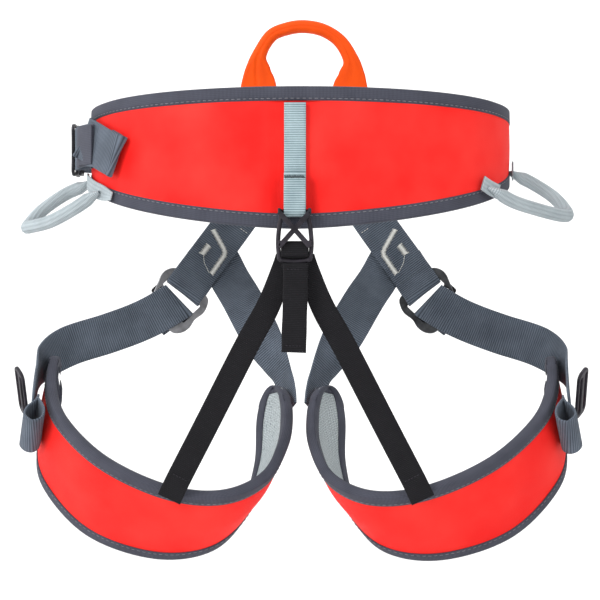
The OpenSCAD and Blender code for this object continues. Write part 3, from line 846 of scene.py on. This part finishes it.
def bind(kind, words, side, body, band, mirrored=False):
    """The tapes round a band's edges and ends, with their stitch rows."""
    for top, word in zip((True, False), words):
        end = word + side
        tape = edge_tape(f"{kind}_tape_{end}", band, top, mirrored)
        finish_piece(tape, body, "binding_tape", f"{kind}_binding_{end}")
        finish_piece(tape_stitches(f"{kind}_stitches_{end}", band, top, mirrored), body, "binding_tape")
        finish_piece(end_tape(f"{kind}_end_tape_{end}", band, top, mirrored), body, "binding_tape")


# ---------------------------------------------------------------- camera, floor and light
CAMERA_TURN = math.radians(2)
CAMERA_AWAY = 2.135
CAMERA_HIGH = -0.142
FLOOR_DROP = 0.25
WALL_AT = 5000
WALL_BEND = 900
WALL_HIGH = 9000
FLOOR_FRONT = -8000
FLOOR_HALF = 12000


def paper_sweep():
    """A pale floor that bends up into a wall far behind the object."""
    low = CAD_BOX[0][2] / MM - FLOOR_DROP / MM
    profile = [(FLOOR_FRONT, 0), (WALL_AT, 0)]
    profile += [(WALL_AT + WALL_BEND * math.sin(a), WALL_BEND * (1 - math.cos(a)))
                for a in np.linspace(0.1, math.pi / 2, 14)]
    profile.append((WALL_AT + WALL_BEND, WALL_HIGH))
    verts = [(x, y, z + low) for y, z in profile for x in (-FLOOR_HALF, FLOOR_HALF)]
    faces = [(2 * i, 2 * i + 1, 2 * i + 3, 2 * i + 2) for i in range(len(profile) - 1)]
    floor = new_object("studio_floor", verts, faces)
    paper = bpy.data.materials.new("studio_paper")
    paper.use_nodes = True
    shader = paper.node_tree.nodes["Principled BSDF"]
    shader.inputs["Base Color"].default_value = (0.92, 0.92, 0.92, 1)
    shader.inputs["Roughness"].default_value = 0.9
    floor.data.materials.append(paper)


def stage():
    scene = bpy.context.scene
    scene.view_settings.view_transform = "Standard"
    camera = bpy.data.objects.new("camera", bpy.data.cameras.new("camera"))
    camera.location = (CAMERA_AWAY * math.sin(CAMERA_TURN), -CAMERA_AWAY * math.cos(CAMERA_TURN), CAMERA_HIGH)
    camera.rotation_euler = (math.pi / 2, 0, CAMERA_TURN)
    camera.data.sensor_width = 36
    camera.data.lens = 120
    scene.collection.objects.link(camera)
    scene.camera = camera
    paper_sweep()
    world = bpy.data.worlds.new("studio_world")
    world.use_nodes = True
    sky = world.node_tree.nodes["Background"]
    sky.inputs["Color"].default_value = (1, 1, 1, 1)
    sky.inputs["Strength"].default_value = 0.74
    scene.world = world
    for name, place, size, power in (
        ("key_light", (-1.5, -1.9, 1.2), 1.0, 40),
        ("fill_light", (1.6, -1.8, 0.7), 1.4, 13),
        ("left_light", (-1.8, 0.1, 0.3), 0.8, 11),
        ("top_light", (0, 0.3, 1.9), 1.6, 12),
        ("paper_light", (0, 4.0, 2.6), 3.6, 90),
    ):
        data = bpy.data.lights.new(name, "AREA")
        data.size = size
        data.energy = power
        lamp = bpy.data.objects.new(name, data)
        lamp.location = place
        lamp.visible_camera = False
        aim = Vector((0, (WALL_AT + WALL_BEND) * MM, 0) if name == "paper_light" else (0, 0, -0.1))
        lamp.rotation_euler = (aim - Vector(place)).to_track_quat("-Z", "Y").to_euler()
        scene.collection.objects.link(lamp)


# ---------------------------------------------------------------- belt
def belt_press(points, v):
    """Extra height of the belt's cover: two valleys beside the back strap and soft unevenness."""
    x = points[:, 0] / MM
    valley = -3.0 * np.exp(-((np.abs(x) - 16) / 9) ** 2) - 1.5 * np.exp(-(x / 12) ** 2)
    ease = np.clip(np.minimum(v, 1 - v) / 0.2, 0, 1)
    waves = np.array([crumple(p, 0.05, 2.0) * 1.1 + crumple(p, 0.021, 5.0) * 0.45 for p in points])
    return (valley + waves) * ease


def build_belt():
    names = ("belt_cover", "belt_inner_mesh")
    cover, lining = split_pad(names, make_pad(names, BELT, 1.5, 6, belt_press), (RED, DARK_LINING))
    finish_piece(cover, "waist", "red_cloth", "belt_outer_panel", "belt_foam")
    finish_piece(lining, "waist", "mesh_liner", "belt_liner")
    bind("belt", ("top", "bottom"), "", "waist", BELT)
    for top, word in ((True, "top"), (False, "bottom")):
        row = tape_stitches("belt_inner_stitches_" + word, BELT, top, False, inner=True)
        finish_piece(row, "waist", "binding_tape")


def leg_press(points, v):
    """Soft unevenness of a leg pad's cover."""
    waves = np.array([crumple(p, 0.045, 7.0) * 0.9 for p in points])
    return waves * np.clip(np.minimum(v, 1 - v) / 0.2, 0, 1)


def build_leg_pads():
    names = ("leg_cover", "leg_inner_mesh")
    pad = make_pad(names, LEG, 1.0, 5, leg_press)
    for side in ("left", "right"):
        flip = side == "right"
        body = "leg_" + side
        cover, lining = split_pad([n + "_" + side for n in names], pad, (RED, LINING), flip)
        finish_piece(cover, body, "red_cloth", "leg_outer_panel_" + side, "leg_foam_" + side)
        finish_piece(lining, body, "mesh_liner", "leg_liner_" + side)
        bind("leg", ("upper", "lower"), "_" + side, body, LEG, flip)


# ---------------------------------------------------------------- joined pieces and small shapes
def joined(name, objects):
    """One object from several, keeping their materials and weave places."""
    with bpy.context.temp_override(active_object=objects[0], selected_editable_objects=objects):
        bpy.ops.object.join()
    objects[0].name = name
    return objects[0]


def tube(name, points, radius, material, sides=12, mirrored=False, up=(0, 0, 1)):
    """A round rod along points."""
    points = np.array(points, float)
    t = headings(points)
    w = unit(np.cross(t, np.array(up, float)))
    n = np.cross(w, t)
    turn = np.linspace(0, 2 * math.pi, sides, endpoint=False)
    rings = points[:, None] + radius * (
        np.cos(turn)[None, :, None] * w[:, None] + np.sin(turn)[None, :, None] * n[:, None])
    return swept(name, rings, turn * radius, lengths(points), material, mirrored)


def rod(name, a, b, wide, thick, material, bevel=0.5, up=(0, -1, 0)):
    """A bar from a to b with a rectangular section and bevelled edges all round."""
    a, b = np.array(a, float), np.array(b, float)
    t = unit(b - a)
    w = unit(np.cross(t, np.array(up, float)))
    n = np.cross(w, t)
    hw, ht = wide / 2, thick / 2
    corners = []
    for sw, sn in ((1, 1), (-1, 1), (-1, -1), (1, -1)):
        pair = [(sw * (hw - bevel), sn * ht), (sw * hw, sn * (ht - bevel))]
        corners += pair if sw * sn < 0 else pair[::-1]
    rings = []
    long = np.linalg.norm(b - a)
    for place, inset in ((0, bevel), (bevel, 0), (long - bevel, 0), (long, bevel)):
        share = (hw - inset) / hw, (ht - inset) / ht
        rings.append([a + t * place + w * x * share[0] + n * y * share[1] for x, y in corners])
    rings = np.array(rings)
    obj = swept(name, rings, np.arange(8.0), np.arange(4.0), material)
    obj.data.polygons.foreach_set("use_smooth", [False] * len(obj.data.polygons))
    return obj


def plate_mesh(name, outline, slots, thick, place, material, bevel=0.7, mirrored=False):
    """A plate in its own XZ plane: a rounded outline with slots cut in, bevelled and then put in place."""
    curve = bpy.data.curves.new(name, "CURVE")
    curve.dimensions = "2D"
    curve.fill_mode = "BOTH"
    curve.extrude = (thick / 2 - bevel) * MM
    curve.bevel_depth = bevel * MM
    curve.bevel_resolution = 2
    curve.offset = -bevel * MM
    for ring in [outline] + slots:
        line = curve.splines.new("POLY")
        line.points.add(len(ring) - 1)
        for point, (x, z) in zip(line.points, ring):
            point.co = (x * MM, z * MM, 0, 1)
        line.use_cyclic_u = True
    holder = bpy.data.objects.new(name, curve)
    bpy.context.scene.collection.objects.link(holder)
    mesh = taken(holder)
    flat = np.array([v.co for v in mesh.vertices]) / MM
    local = np.stack([flat[:, 0], -flat[:, 2], flat[:, 1]], axis=1)
    points = np.array([place(p) for p in local])
    faces = [tuple(f.vertices) for f in mesh.polygons]
    uvs = local[:, [0, 2]]
    obj = new_object(name, points, faces, uvs, mirrored, smooth_shade=False)
    for f in obj.data.polygons:
        f.use_smooth = len(f.vertices) == 4 and f.area < 2e-6
    obj.data.materials.append(material)
    return obj


def rounded(long, high, radius, steps=6, centre=(0, 0)):
    """A rounded rectangle's outline."""
    out = []
    for k, (sx, sz) in enumerate(((1, 1), (-1, 1), (-1, -1), (1, -1))):
        for i in range(steps + 1):
            a = math.pi / 2 * (k + i / steps)
            out.append((centre[0] + sx * (long / 2 - radius) + radius * math.cos(a),
                        centre[1] + sz * (high / 2 - radius) + radius * math.sin(a)))
    return out


def turned(p, axis, degrees):
    """p turned about X, Y or Z, as the frame's own rotate does."""
    a = math.radians(degrees)
    c, s = math.cos(a), math.sin(a)
    x, y, z = p
    if axis == "X":
        return [x, c * y - s * z, s * y + c * z]
    if axis == "Y":
        return [c * x + s * z, y, -s * x + c * z]
    return [c * x - s * y, s * x + c * y, z]


def placer(at, turns, across=0, through=0):
    """Puts a plate's own points in place: slid across and through the plate, turned, then moved."""
    def place(p):
        q = [p[0], p[1] + through, p[2] + across]
        for axis, degrees in turns:
            q = turned(q, axis, degrees)
        return [q[k] + at[k] for k in range(3)]
    return place


def row_across(s, start, end, step):
    """Places on a line across a strap at distance s along it."""
    return [(s, w) for w in np.arange(start, end + 1, step)]


def thread_line(name, strap, path, material, lift, pitch=3.4, long=2.3, mirrored=False):
    """Stitches along a path of (along, across) places on a strap."""
    points = np.array([strap.at(s, w, lift) for s, w in path])
    normals = np.array([strap.at(s, w, lift + math.copysign(1, lift)) for s, w in path]) - points
    return stitches(name, points, normals, material, pitch, long, mirrored=mirrored)


def bar_tack(name, strap, path, material, lift, wide=6.0, pitch=0.62, mirrored=False):
    """Dense zigzag of thread along a path of (along, across) places on a strap."""
    path = np.array(path, float)
    walk = lengths(np.hstack([path, np.zeros((len(path), 1))]))
    count = int(walk[-1] / pitch)
    sign = math.copysign(1, lift)
    line = []
    for i in range(count + 1):
        at = min(i * pitch, walk[-1])
        here = np.array([np.interp(at, walk, path[:, k]) for k in (0, 1)])
        near = np.array([np.interp(min(at + 1, walk[-1]), walk, path[:, k])
                         - np.interp(max(at - 1, 0), walk, path[:, k]) for k in (0, 1)])
        side = np.array([-near[1], near[0]]) / max(float(np.linalg.norm(near)), 1e-6)
        wobble = 0.35 * math.sin(i * 2.3)
        spot = here + side * (wide / 2 + wobble) * (1 if i % 2 else -1)
        line.append((spot, lift))
        middle = here + side * 0.2
        line.append((middle, lift + sign * 0.45))
    points = [strap.at(spot[0], spot[1], height) for spot, height in line[:-1]]
    normal = strap.n[len(strap.n) // 2]
    return tube(name, points, 0.5, material, sides=5, mirrored=mirrored, up=normal)


# ---------------------------------------------------------------- leg straps and their hardware
LEG_BUCKLE = ([-145.6, 110, -142.3], (("X", -12), ("Y", 47)))
BELT_BUCKLE = ([-242, 14, WEB_HEIGHT], (("Y", 90), ("Z", 86)))
SLIDER = ([-300, 8, -241], (("Y", 90), ("Z", 119), ("X", 35)))
KEEPER = ([-203, 63, WEB_HEIGHT], (("Z", -55),))
LEG_SLIDE_LONG = 53
BELT_SLIDE_LONG = 54
PLATE_THICK = 3

LEG_FRAME = [
    (-18, -16), (-23, -9), (-27, 0), (-31, 9), (-31, 18), (-26, 26), (-16, 29.5), (0, 29), (16, 30), (25, 29),
    (30, 23), (33, 14), (32, 2), (34.5, -8), (33, -18), (26, -26), (12, -27), (-8, -24),
]
BELT_FRAME_HALF = [
    (27.4, 0), (28, 11), (26, 15.5), (22, 18), (10, 17.2), (-10, 17.2), (-22, 18), (-26, 15.5), (-28, 11),
]
BELT_FRAME = BELT_FRAME_HALF + [(-x, -z) for x, z in BELT_FRAME_HALF]


def rounded_ring(points, steps=4):
    """A smooth closed line through a few corner points."""
    points = np.array(points, float)
    n = len(points)
    return [tuple(curve_at(points[i - 1], points[i], points[(i + 1) % n], points[(i + 2) % n], k / steps))
            for i in range(n) for k in range(steps)]


LEG_SLOTS = [rounded(47, 14.7, 2, centre=(1.5, 10.15)), rounded(46.5, 10.4, 2, centre=(2.4, -4.8))]
BELT_SLOTS = [rounded(48, 8, 2.5, centre=(0, 8.5)), rounded(48, 15, 2.5, centre=(0, -6))]


def buckle_frame(name, shape, slots, place, body, node, material, mirrored=False):
    plate = plate_mesh(name, rounded_ring(shape), slots, PLATE_THICK, place, material, mirrored=mirrored)
    return finish_piece(plate, body, "dark_metal", node)


def buckle_slide(name, long, place, body, node, mirrored=False):
    plate = plate_mesh(name, rounded(long, 15, 3), [rounded(48, 5, 2)], PLATE_THICK, place, DARK_METAL,
                       mirrored=mirrored)
    return finish_piece(plate, body, "dark_metal", node)


def build_leg_straps():
    riser, inner, outer = Strap(RISER), Strap(INNER_STRAP), Strap(LEG_WEBBING)
    elastic, tail = Strap(ELASTIC), Strap(LEG_TAIL)
    for side in ("left", "right"):
        flip = side == "right"
        body = "leg_" + side
        for word, strap, node in (("riser", riser, "riser_strap"), ("inner", inner, "inner_strap"),
                                  ("outer", outer, "leg_webbing")):
            piece = webbing(f"{word}_webbing_{side}", strap, SLATE, flip, rib=0.22)
            finish_piece(piece, body, "slate_webbing", f"{node}_{side}")
        piece = webbing(f"elastic_{side}", elastic, BLACK, flip, rib=0.1, rib_pitch=1.8, inset=0.7)
        finish_piece(piece, body, "black_elastic", "elastic_strap_" + side)
        piece = webbing(f"tail_webbing_{side}", tail, SLATE, flip, rib=0.22)
        finish_piece(piece, "leg_tail_" + side, "slate_webbing", "leg_tail_" + side)
        top = WEB_THICK / 2 + 0.25
        tacks = [
            bar_tack(f"riser_tack_long_{side}", riser, [(105, -14.5), (117, 10), (121, 13), (149, 13.7)],
                     THREAD, top, 6.2, mirrored=flip),
            bar_tack(f"riser_tack_short_{side}", riser, [(123, -8), (137, -8)], THREAD, top, 7.6,
                     mirrored=flip),
            thread_line(f"riser_thread_{side}", riser, [(134, -8), (143, 0), (149, 11)], THREAD, top, 2.4,
                        2.0, mirrored=flip),
            thread_line(f"riser_row_{side}", riser, row_across(161, -18, 18, 4), GREY_THREAD, top,
                        mirrored=flip),
            thread_line(f"riser_row_high_{side}", riser, row_across(85, 8, 20, 2), THREAD, top,
                        mirrored=flip),
        ]
        finish_piece(joined(f"leg_tacks_{side}", tacks), body, "binding_tape")
        dark = thread_line(f"elastic_row_{side}", elastic, row_across(248, -9, 9, 3), NYLON,
                           ELASTIC_THICK / 2 + 0.2, mirrored=flip)
        finish_piece(dark, body, "black_elastic")
        # The left frame's pale plate colour is a painted reflection of the light from the left; the right
        # frame keeps the dark anodised plate colour.
        buckle_frame(f"leg_buckle_{side}", LEG_FRAME, LEG_SLOTS, placer(*LEG_BUCKLE), body,
                     f"leg_buckle_frame_{side}", METAL if flip else PAINTED_REFLECTION_METAL, flip)
        slide = f"leg_buckle_slide_{side}"
        buckle_slide(f"leg_buckle_bar_{side}", LEG_SLIDE_LONG, placer(*LEG_BUCKLE, -4, 4), slide, slide, flip)
        build_slider(side, flip)


def build_slider(side, flip):
    slots = [rounded(48, 6, 2.5, centre=(0, 6)), rounded(48, 6, 2.5, centre=(0, -6))]
    plate = plate_mesh(f"slider_{side}", rounded(60, 24, 8), slots, 3.6, placer(*SLIDER), NYLON, bevel=1.2,
                       mirrored=flip)
    finish_piece(plate, "leg_slider_" + side, "black_plastic", "leg_slider_" + side)


# ---------------------------------------------------------------- back strap, hook and elastic tail
def build_back():
    strap = Strap(BACK_STRAP, 0.5)
    piece = webbing("back_webbing", strap, PALE, rib=0.3, rib_pitch=2.3, inset=0.8)
    finish_piece(piece, "waist", "pale_webbing", "back_strap")
    low = lengths(strap.p)[-1]
    tack = bar_tack("back_tack", strap, [(low - 6, -10), (low - 6, 10)], GREY_THREAD, -1.3, 2.6, 0.8)
    finish_piece(tack, "waist", "pale_webbing")
    wrap = webbing("hook_wrap", Strap(ELASTIC_WRAP, 0.5), BLACK, rib=0.12, rib_pitch=1.8, inset=0.7)
    finish_piece(wrap, "waist", "black_elastic", "elastic_wrap")
    parts = [tube(f"hook_bar_{z}", [[-HOOK_HALF, HOOK_Y, z], [HOOK_HALF, HOOK_Y, z]], HOOK_BAR, NYLON)
             for z in (HOOK_TOP, HOOK_MID)]
    bow = [[x, HOOK_Y - 1.5, HOOK_LOW - 2.2 * (1 - (x / HOOK_HALF) ** 2)]
           for x in np.linspace(-HOOK_HALF, HOOK_HALF, 15)]
    parts.append(tube("hook_low_bar", bow, HOOK_BAR, NYLON))
    front = HOOK_Y - 8
    middle = (HOOK_TOP + HOOK_LOW) / 2 + 6
    for side in (-1, 1):
        x = side * HOOK_HALF
        curve = [[side * out, HOOK_Y - back, z] for out, back, z in (
            (14.6, 0, HOOK_LOW - 1), (15.8, 0, HOOK_LOW + 5), (16.6, 0, HOOK_MID), (16.4, 1, HOOK_MID + 8),
            (15.2, 2, HOOK_TOP - 14), (13.6, 2, HOOK_TOP - 8), (13.0, 0, HOOK_TOP - 1))]
        parts.append(tube(f"hook_rail_{side}", smooth(curve, 4), 2.3, NYLON, up=(0, 1, 0)))
        for k, z in enumerate((HOOK_TOP, HOOK_MID + 2)):
            parts.append(rod(f"hook_foot_{side}_{k}", [x, HOOK_Y + 2, z], [x, HOOK_Y - 9.4, z], 3, 6, NYLON,
                             0.7, up=(0, 0, 1)))
        a = [-side * HOOK_ARM[0], front, middle + HOOK_ARM[1]]
        b = [side * HOOK_ARM[0], front, middle - HOOK_ARM[1]]
        parts.append(rod(f"hook_arm_{side}", a, b, 5, 3 if side == 1 else 2.8, NYLON, 0.8))
    finish_piece(joined("hook", parts), "waist", "black_plastic", "rear_hook")
    sway = [[0.8 * math.sin(z / 25), HOOK_Y - 3.2 + 0.5 * math.sin(z / 13), z, 1, 0, 0.02 * math.sin(z / 30),
             SLIM_WIDE + 0.3 * math.sin(z), 2 * ELASTIC_THICK] for z in np.linspace(-105.5, -190, 12)]
    sway.append([-0.9, HOOK_Y - 3.4, -194, 1, 0, -0.04, SLIM_WIDE, 2 * ELASTIC_THICK])
    hang = Strap(sway, 0.5)
    tail = webbing("elastic_tail_web", hang, BLACK, rib=0.14, rib_pitch=1.6, inset=1.1)
    finish_piece(tail, "elastic_tail", "black_elastic", "elastic_tail")
    rows = [thread_line(f"elastic_tail_row_{word}", hang, row_across(s, -10, 10, 3), NYLON, 2.1)
            for word, s in (("low", 82), ("high", 6))]
    finish_piece(joined("elastic_tail_rows", rows), "elastic_tail", "black_elastic")


# ---------------------------------------------------------------- belt webbing, buckle and loops
def waist_route(start, end, depth):
    """A stretch of upright webbing round the waist between two angles."""
    return [belt_point(a, WEB_HEIGHT, depth) + UPRIGHT for a in np.linspace(start, end, 40)]


def build_belt_straps():
    bridge = waist_route(162, 198, 1.2)
    for name, route, node in (
        ("waist_web", waist_route(98, 166, WEB_DEPTH), "waist_webbing"),
        ("front_web", FRONT_WEBBING, "front_webbing_left"),
        ("bridge_web", bridge, "front_bridge"),
        ("buckle_web", BUCKLE_STRAP, "belt_buckle_strap"),
    ):
        piece = webbing(name, Strap(route), SLATE, rib=0.22)
        finish_piece(piece, "waist", "slate_webbing", node)
    parts = [webbing("belt_tail_" + word, Strap(route, 0.6), SLATE, rib=0.22)
             for word, route in (("flap", BELT_TAIL), ("lead", BELT_TAIL_LEAD))]
    for k in range(2):
        line = ((-234 + 3.4 * k, -21 - 7 * k), (-229, -33), (-220, -50), (-212, -62))
        route = [[x - 1 - 1.1 * k, y - 2.4 - 2.4 * k, 19.5, 0, 0.04 * (k - 1), -1, 43 - 2 * k, 1.6]
                 for x, y in line]
        parts.append(webbing(f"belt_tail_layer_{k}", Strap(route, 0.6), TAPE_CLOTH, rib=0.12))
    tail = joined("belt_tail_web", parts)
    finish_piece(tail, "belt_tail", "slate_webbing", "belt_tail")
    buckle_frame("belt_buckle", BELT_FRAME, BELT_SLOTS, placer(*BELT_BUCKLE), "waist", "belt_buckle_frame",
                 DARK_METAL)
    buckle_slide("belt_buckle_bar", BELT_SLIDE_LONG, placer(*BELT_BUCKLE, 4, -5), "belt_buckle_slide",
                 "belt_buckle_slide")
    rows = [bar_tack(f"bridge_tack_{k}", Strap(bridge), [(s, -17), (s, 17)], THREAD, WEB_THICK / 2 + 0.25, 3)
            for k, s in enumerate((6, 24, 96, 114))]
    finish_piece(joined("bridge_tacks", rows), "waist", "binding_tape")


LOOP_FOOT = 44
CREASE_AT = 112
CREASE_DEEP = 1.6


def build_front_loop():
    """The standing loop: flat feet, folded and creased towards its bow, sewn ends on the belt."""
    strap = Strap(FRONT_LOOP, 1.0)
    shape = flat_section(28, 5)
    half_wide = strap.wide[:, None] / 2
    half_thick = strap.thick[:, None] / 2
    corner = np.minimum(half_wide, half_thick) * 0.9
    across = shape[:, 0] * (half_wide - corner) + shape[:, 2] * corner
    up = shape[:, 1] * half_thick
    fold = np.clip((half_thick - 2.5) / 6, 0, 1)
    crease = 1.1 * fold * np.cos(across / np.maximum(half_wide, 1) * math.pi * 1.5) ** 2
    up = up - np.sign(shape[:, 1]) * crease * (np.abs(shape[:, 1]) > 0.9)
    near_left = np.exp(-((strap.s[:, None] - CREASE_AT) / 22) ** 2) * np.exp(-((across + 2) / 1.6) ** 2)
    up = up - np.sign(shape[:, 1]) * CREASE_DEEP * near_left * (np.abs(shape[:, 1]) > 0.9)
    wrinkle = np.array([[crumple(np.array([s * MM, a * MM, 0.0]), 0.018, 9.0) for a in row]
                        for s, row in zip(strap.s, across)])
    up = up + np.sign(shape[:, 1]) * 0.7 * wrinkle * np.clip(half_thick / 4, 0.2, 1)
    rings = laid(strap, across, up)
    around = np.cumsum(np.concatenate([[0], np.linalg.norm(np.diff(rings[len(rings) // 2], axis=0), axis=1)]))
    cut = [int(np.argmin(np.abs(strap.s - s))) for s in (LOOP_FOOT, strap.s[-1] - LOOP_FOOT)]
    for name, a, b, body, nodes in (
        ("front_loop_end_left", 0, cut[0] + 1, "waist", ("front_loop_ends",)),
        ("front_loop_bow", cut[0], cut[1] + 1, "front_loop", ("front_loop",)),
        ("front_loop_end_right", cut[1], len(rings), "waist", ()),
    ):
        piece = swept(name, rings[a:b, ::-1], around[::-1], strap.s[a:b], ORANGE)
        finish_piece(piece, body, "orange_webbing", *nodes)


def build_gear_loops():
    for side in ("left", "right"):
        flip = side == "right"
        rows = respace(smooth(GEAR_LOOP[side], 12), 1.5)
        t = headings(rows)
        w = unit(np.cross(t, np.array([0.0, 0.0, 1.0])))
        n = np.cross(w, t)
        turn = np.linspace(0, 2 * math.pi, 60, endpoint=False)
        s = lengths(rows)
        ends = np.minimum(s, s[-1] - s)
        shut = np.clip(ends / 16, 0.0, 1.0)
        high = GEAR_LOOP_DIA / 2 * (0.30 + 0.70 * shut)
        broad = GEAR_LOOP_DIA / 2 * (1.25 - 0.25 * shut)
        ridge = 1 + 0.07 * np.abs(np.cos(5 * turn))[None, :] * shut[:, None]
        rings = rows[:, None] + ridge[..., None] * (
            broad[:, None, None] * np.cos(turn)[None, :, None] * w[:, None]
            + high[:, None, None] * np.sin(turn)[None, :, None] * n[:, None])
        piece = swept("gear_sheath_" + side, rings, turn * GEAR_LOOP_DIA / 2, s, SHEATH, flip)
        finish_piece(piece, "gear_loop_" + side, "pale_sheath", "gear_loop_sheath_" + side,
                     "gear_loop_core_" + side)


def build_tabs():
    """The webbing tabs of the gear loops, the stitched stack in front and the webbing keeper."""
    flat = [16, 1.8]
    left = Strap([p + flat for p in (
        [-228, 10, -14, 0, 0.1, 1], [-226.5, -8, -15, 0, 0.1, 1], [-222.5, -28, -19, 0, 0.1, 1],
        [-214.5, -48, -25, 0.1, 0.1, 1], [-203, -66, -31, 0.1, 0.1, 1],
    )] + [[-192, -78, -35, 0.1, 0.1, 1, 9, 1.6]])
    tab = webbing("gear_tab_left", left, SHEATH, rib=0.1)
    finish_piece(tab, "waist", "pale_webbing", "gear_loop_anchor_left")
    pair = [webbing("gear_tab_" + word, Strap([p + flat for p in route]), SHEATH, True, rib=0.1)
            for word, route in (
                ("near", ([-190, -83, -22, 0.1, 0, 1], [-198, -76, -27, 0.1, 0, 1],
                          [-207, -69, -31, 0.1, 0, 1])),
                ("far", ([-225.5, -12, -3, 0, 0, 1], [-226, -2, -5, 0, 0, 1], [-227, 9, -7, 0, 0, 1])))]
    finish_piece(joined("gear_tabs_right", pair), "waist", "pale_webbing", "gear_loop_anchor_right")
    layers = []
    for k in range(7):
        y = 133.3 + 2.56 * k
        route = Strap([[x, y, 8, 0, 0, 1, 44 - 0.6 * (k % 2), WEB_THICK] for x in (-10.8, 0, 10.8)])
        layers.append(webbing(f"stack_layer_{k}", route, SLATE, rib=0.05))
        if k == 6:
            layers += [thread_line(f"stack_row_{x}", route, row_across(x, -19, 19, 4), THREAD, -1.5)
                       for x in (4, 17.5)]
    finish_piece(joined("tie_in_layers", layers), "waist", "slate_webbing", "tie_in_stack")

    ring = plate_mesh("webbing_keeper", rounded(9.5, 54, 3), [rounded(6.5, 50, 1.5)], 12, placer(*KEEPER),
                      NYLON, bevel=0.6)
    finish_piece(ring, "belt_keeper", "black_plastic", "belt_keeper")



stage()
for build in (build_belt, build_leg_pads, build_leg_straps, build_back, build_belt_straps, build_front_loop,
              build_gear_loops, build_tabs):
    build()
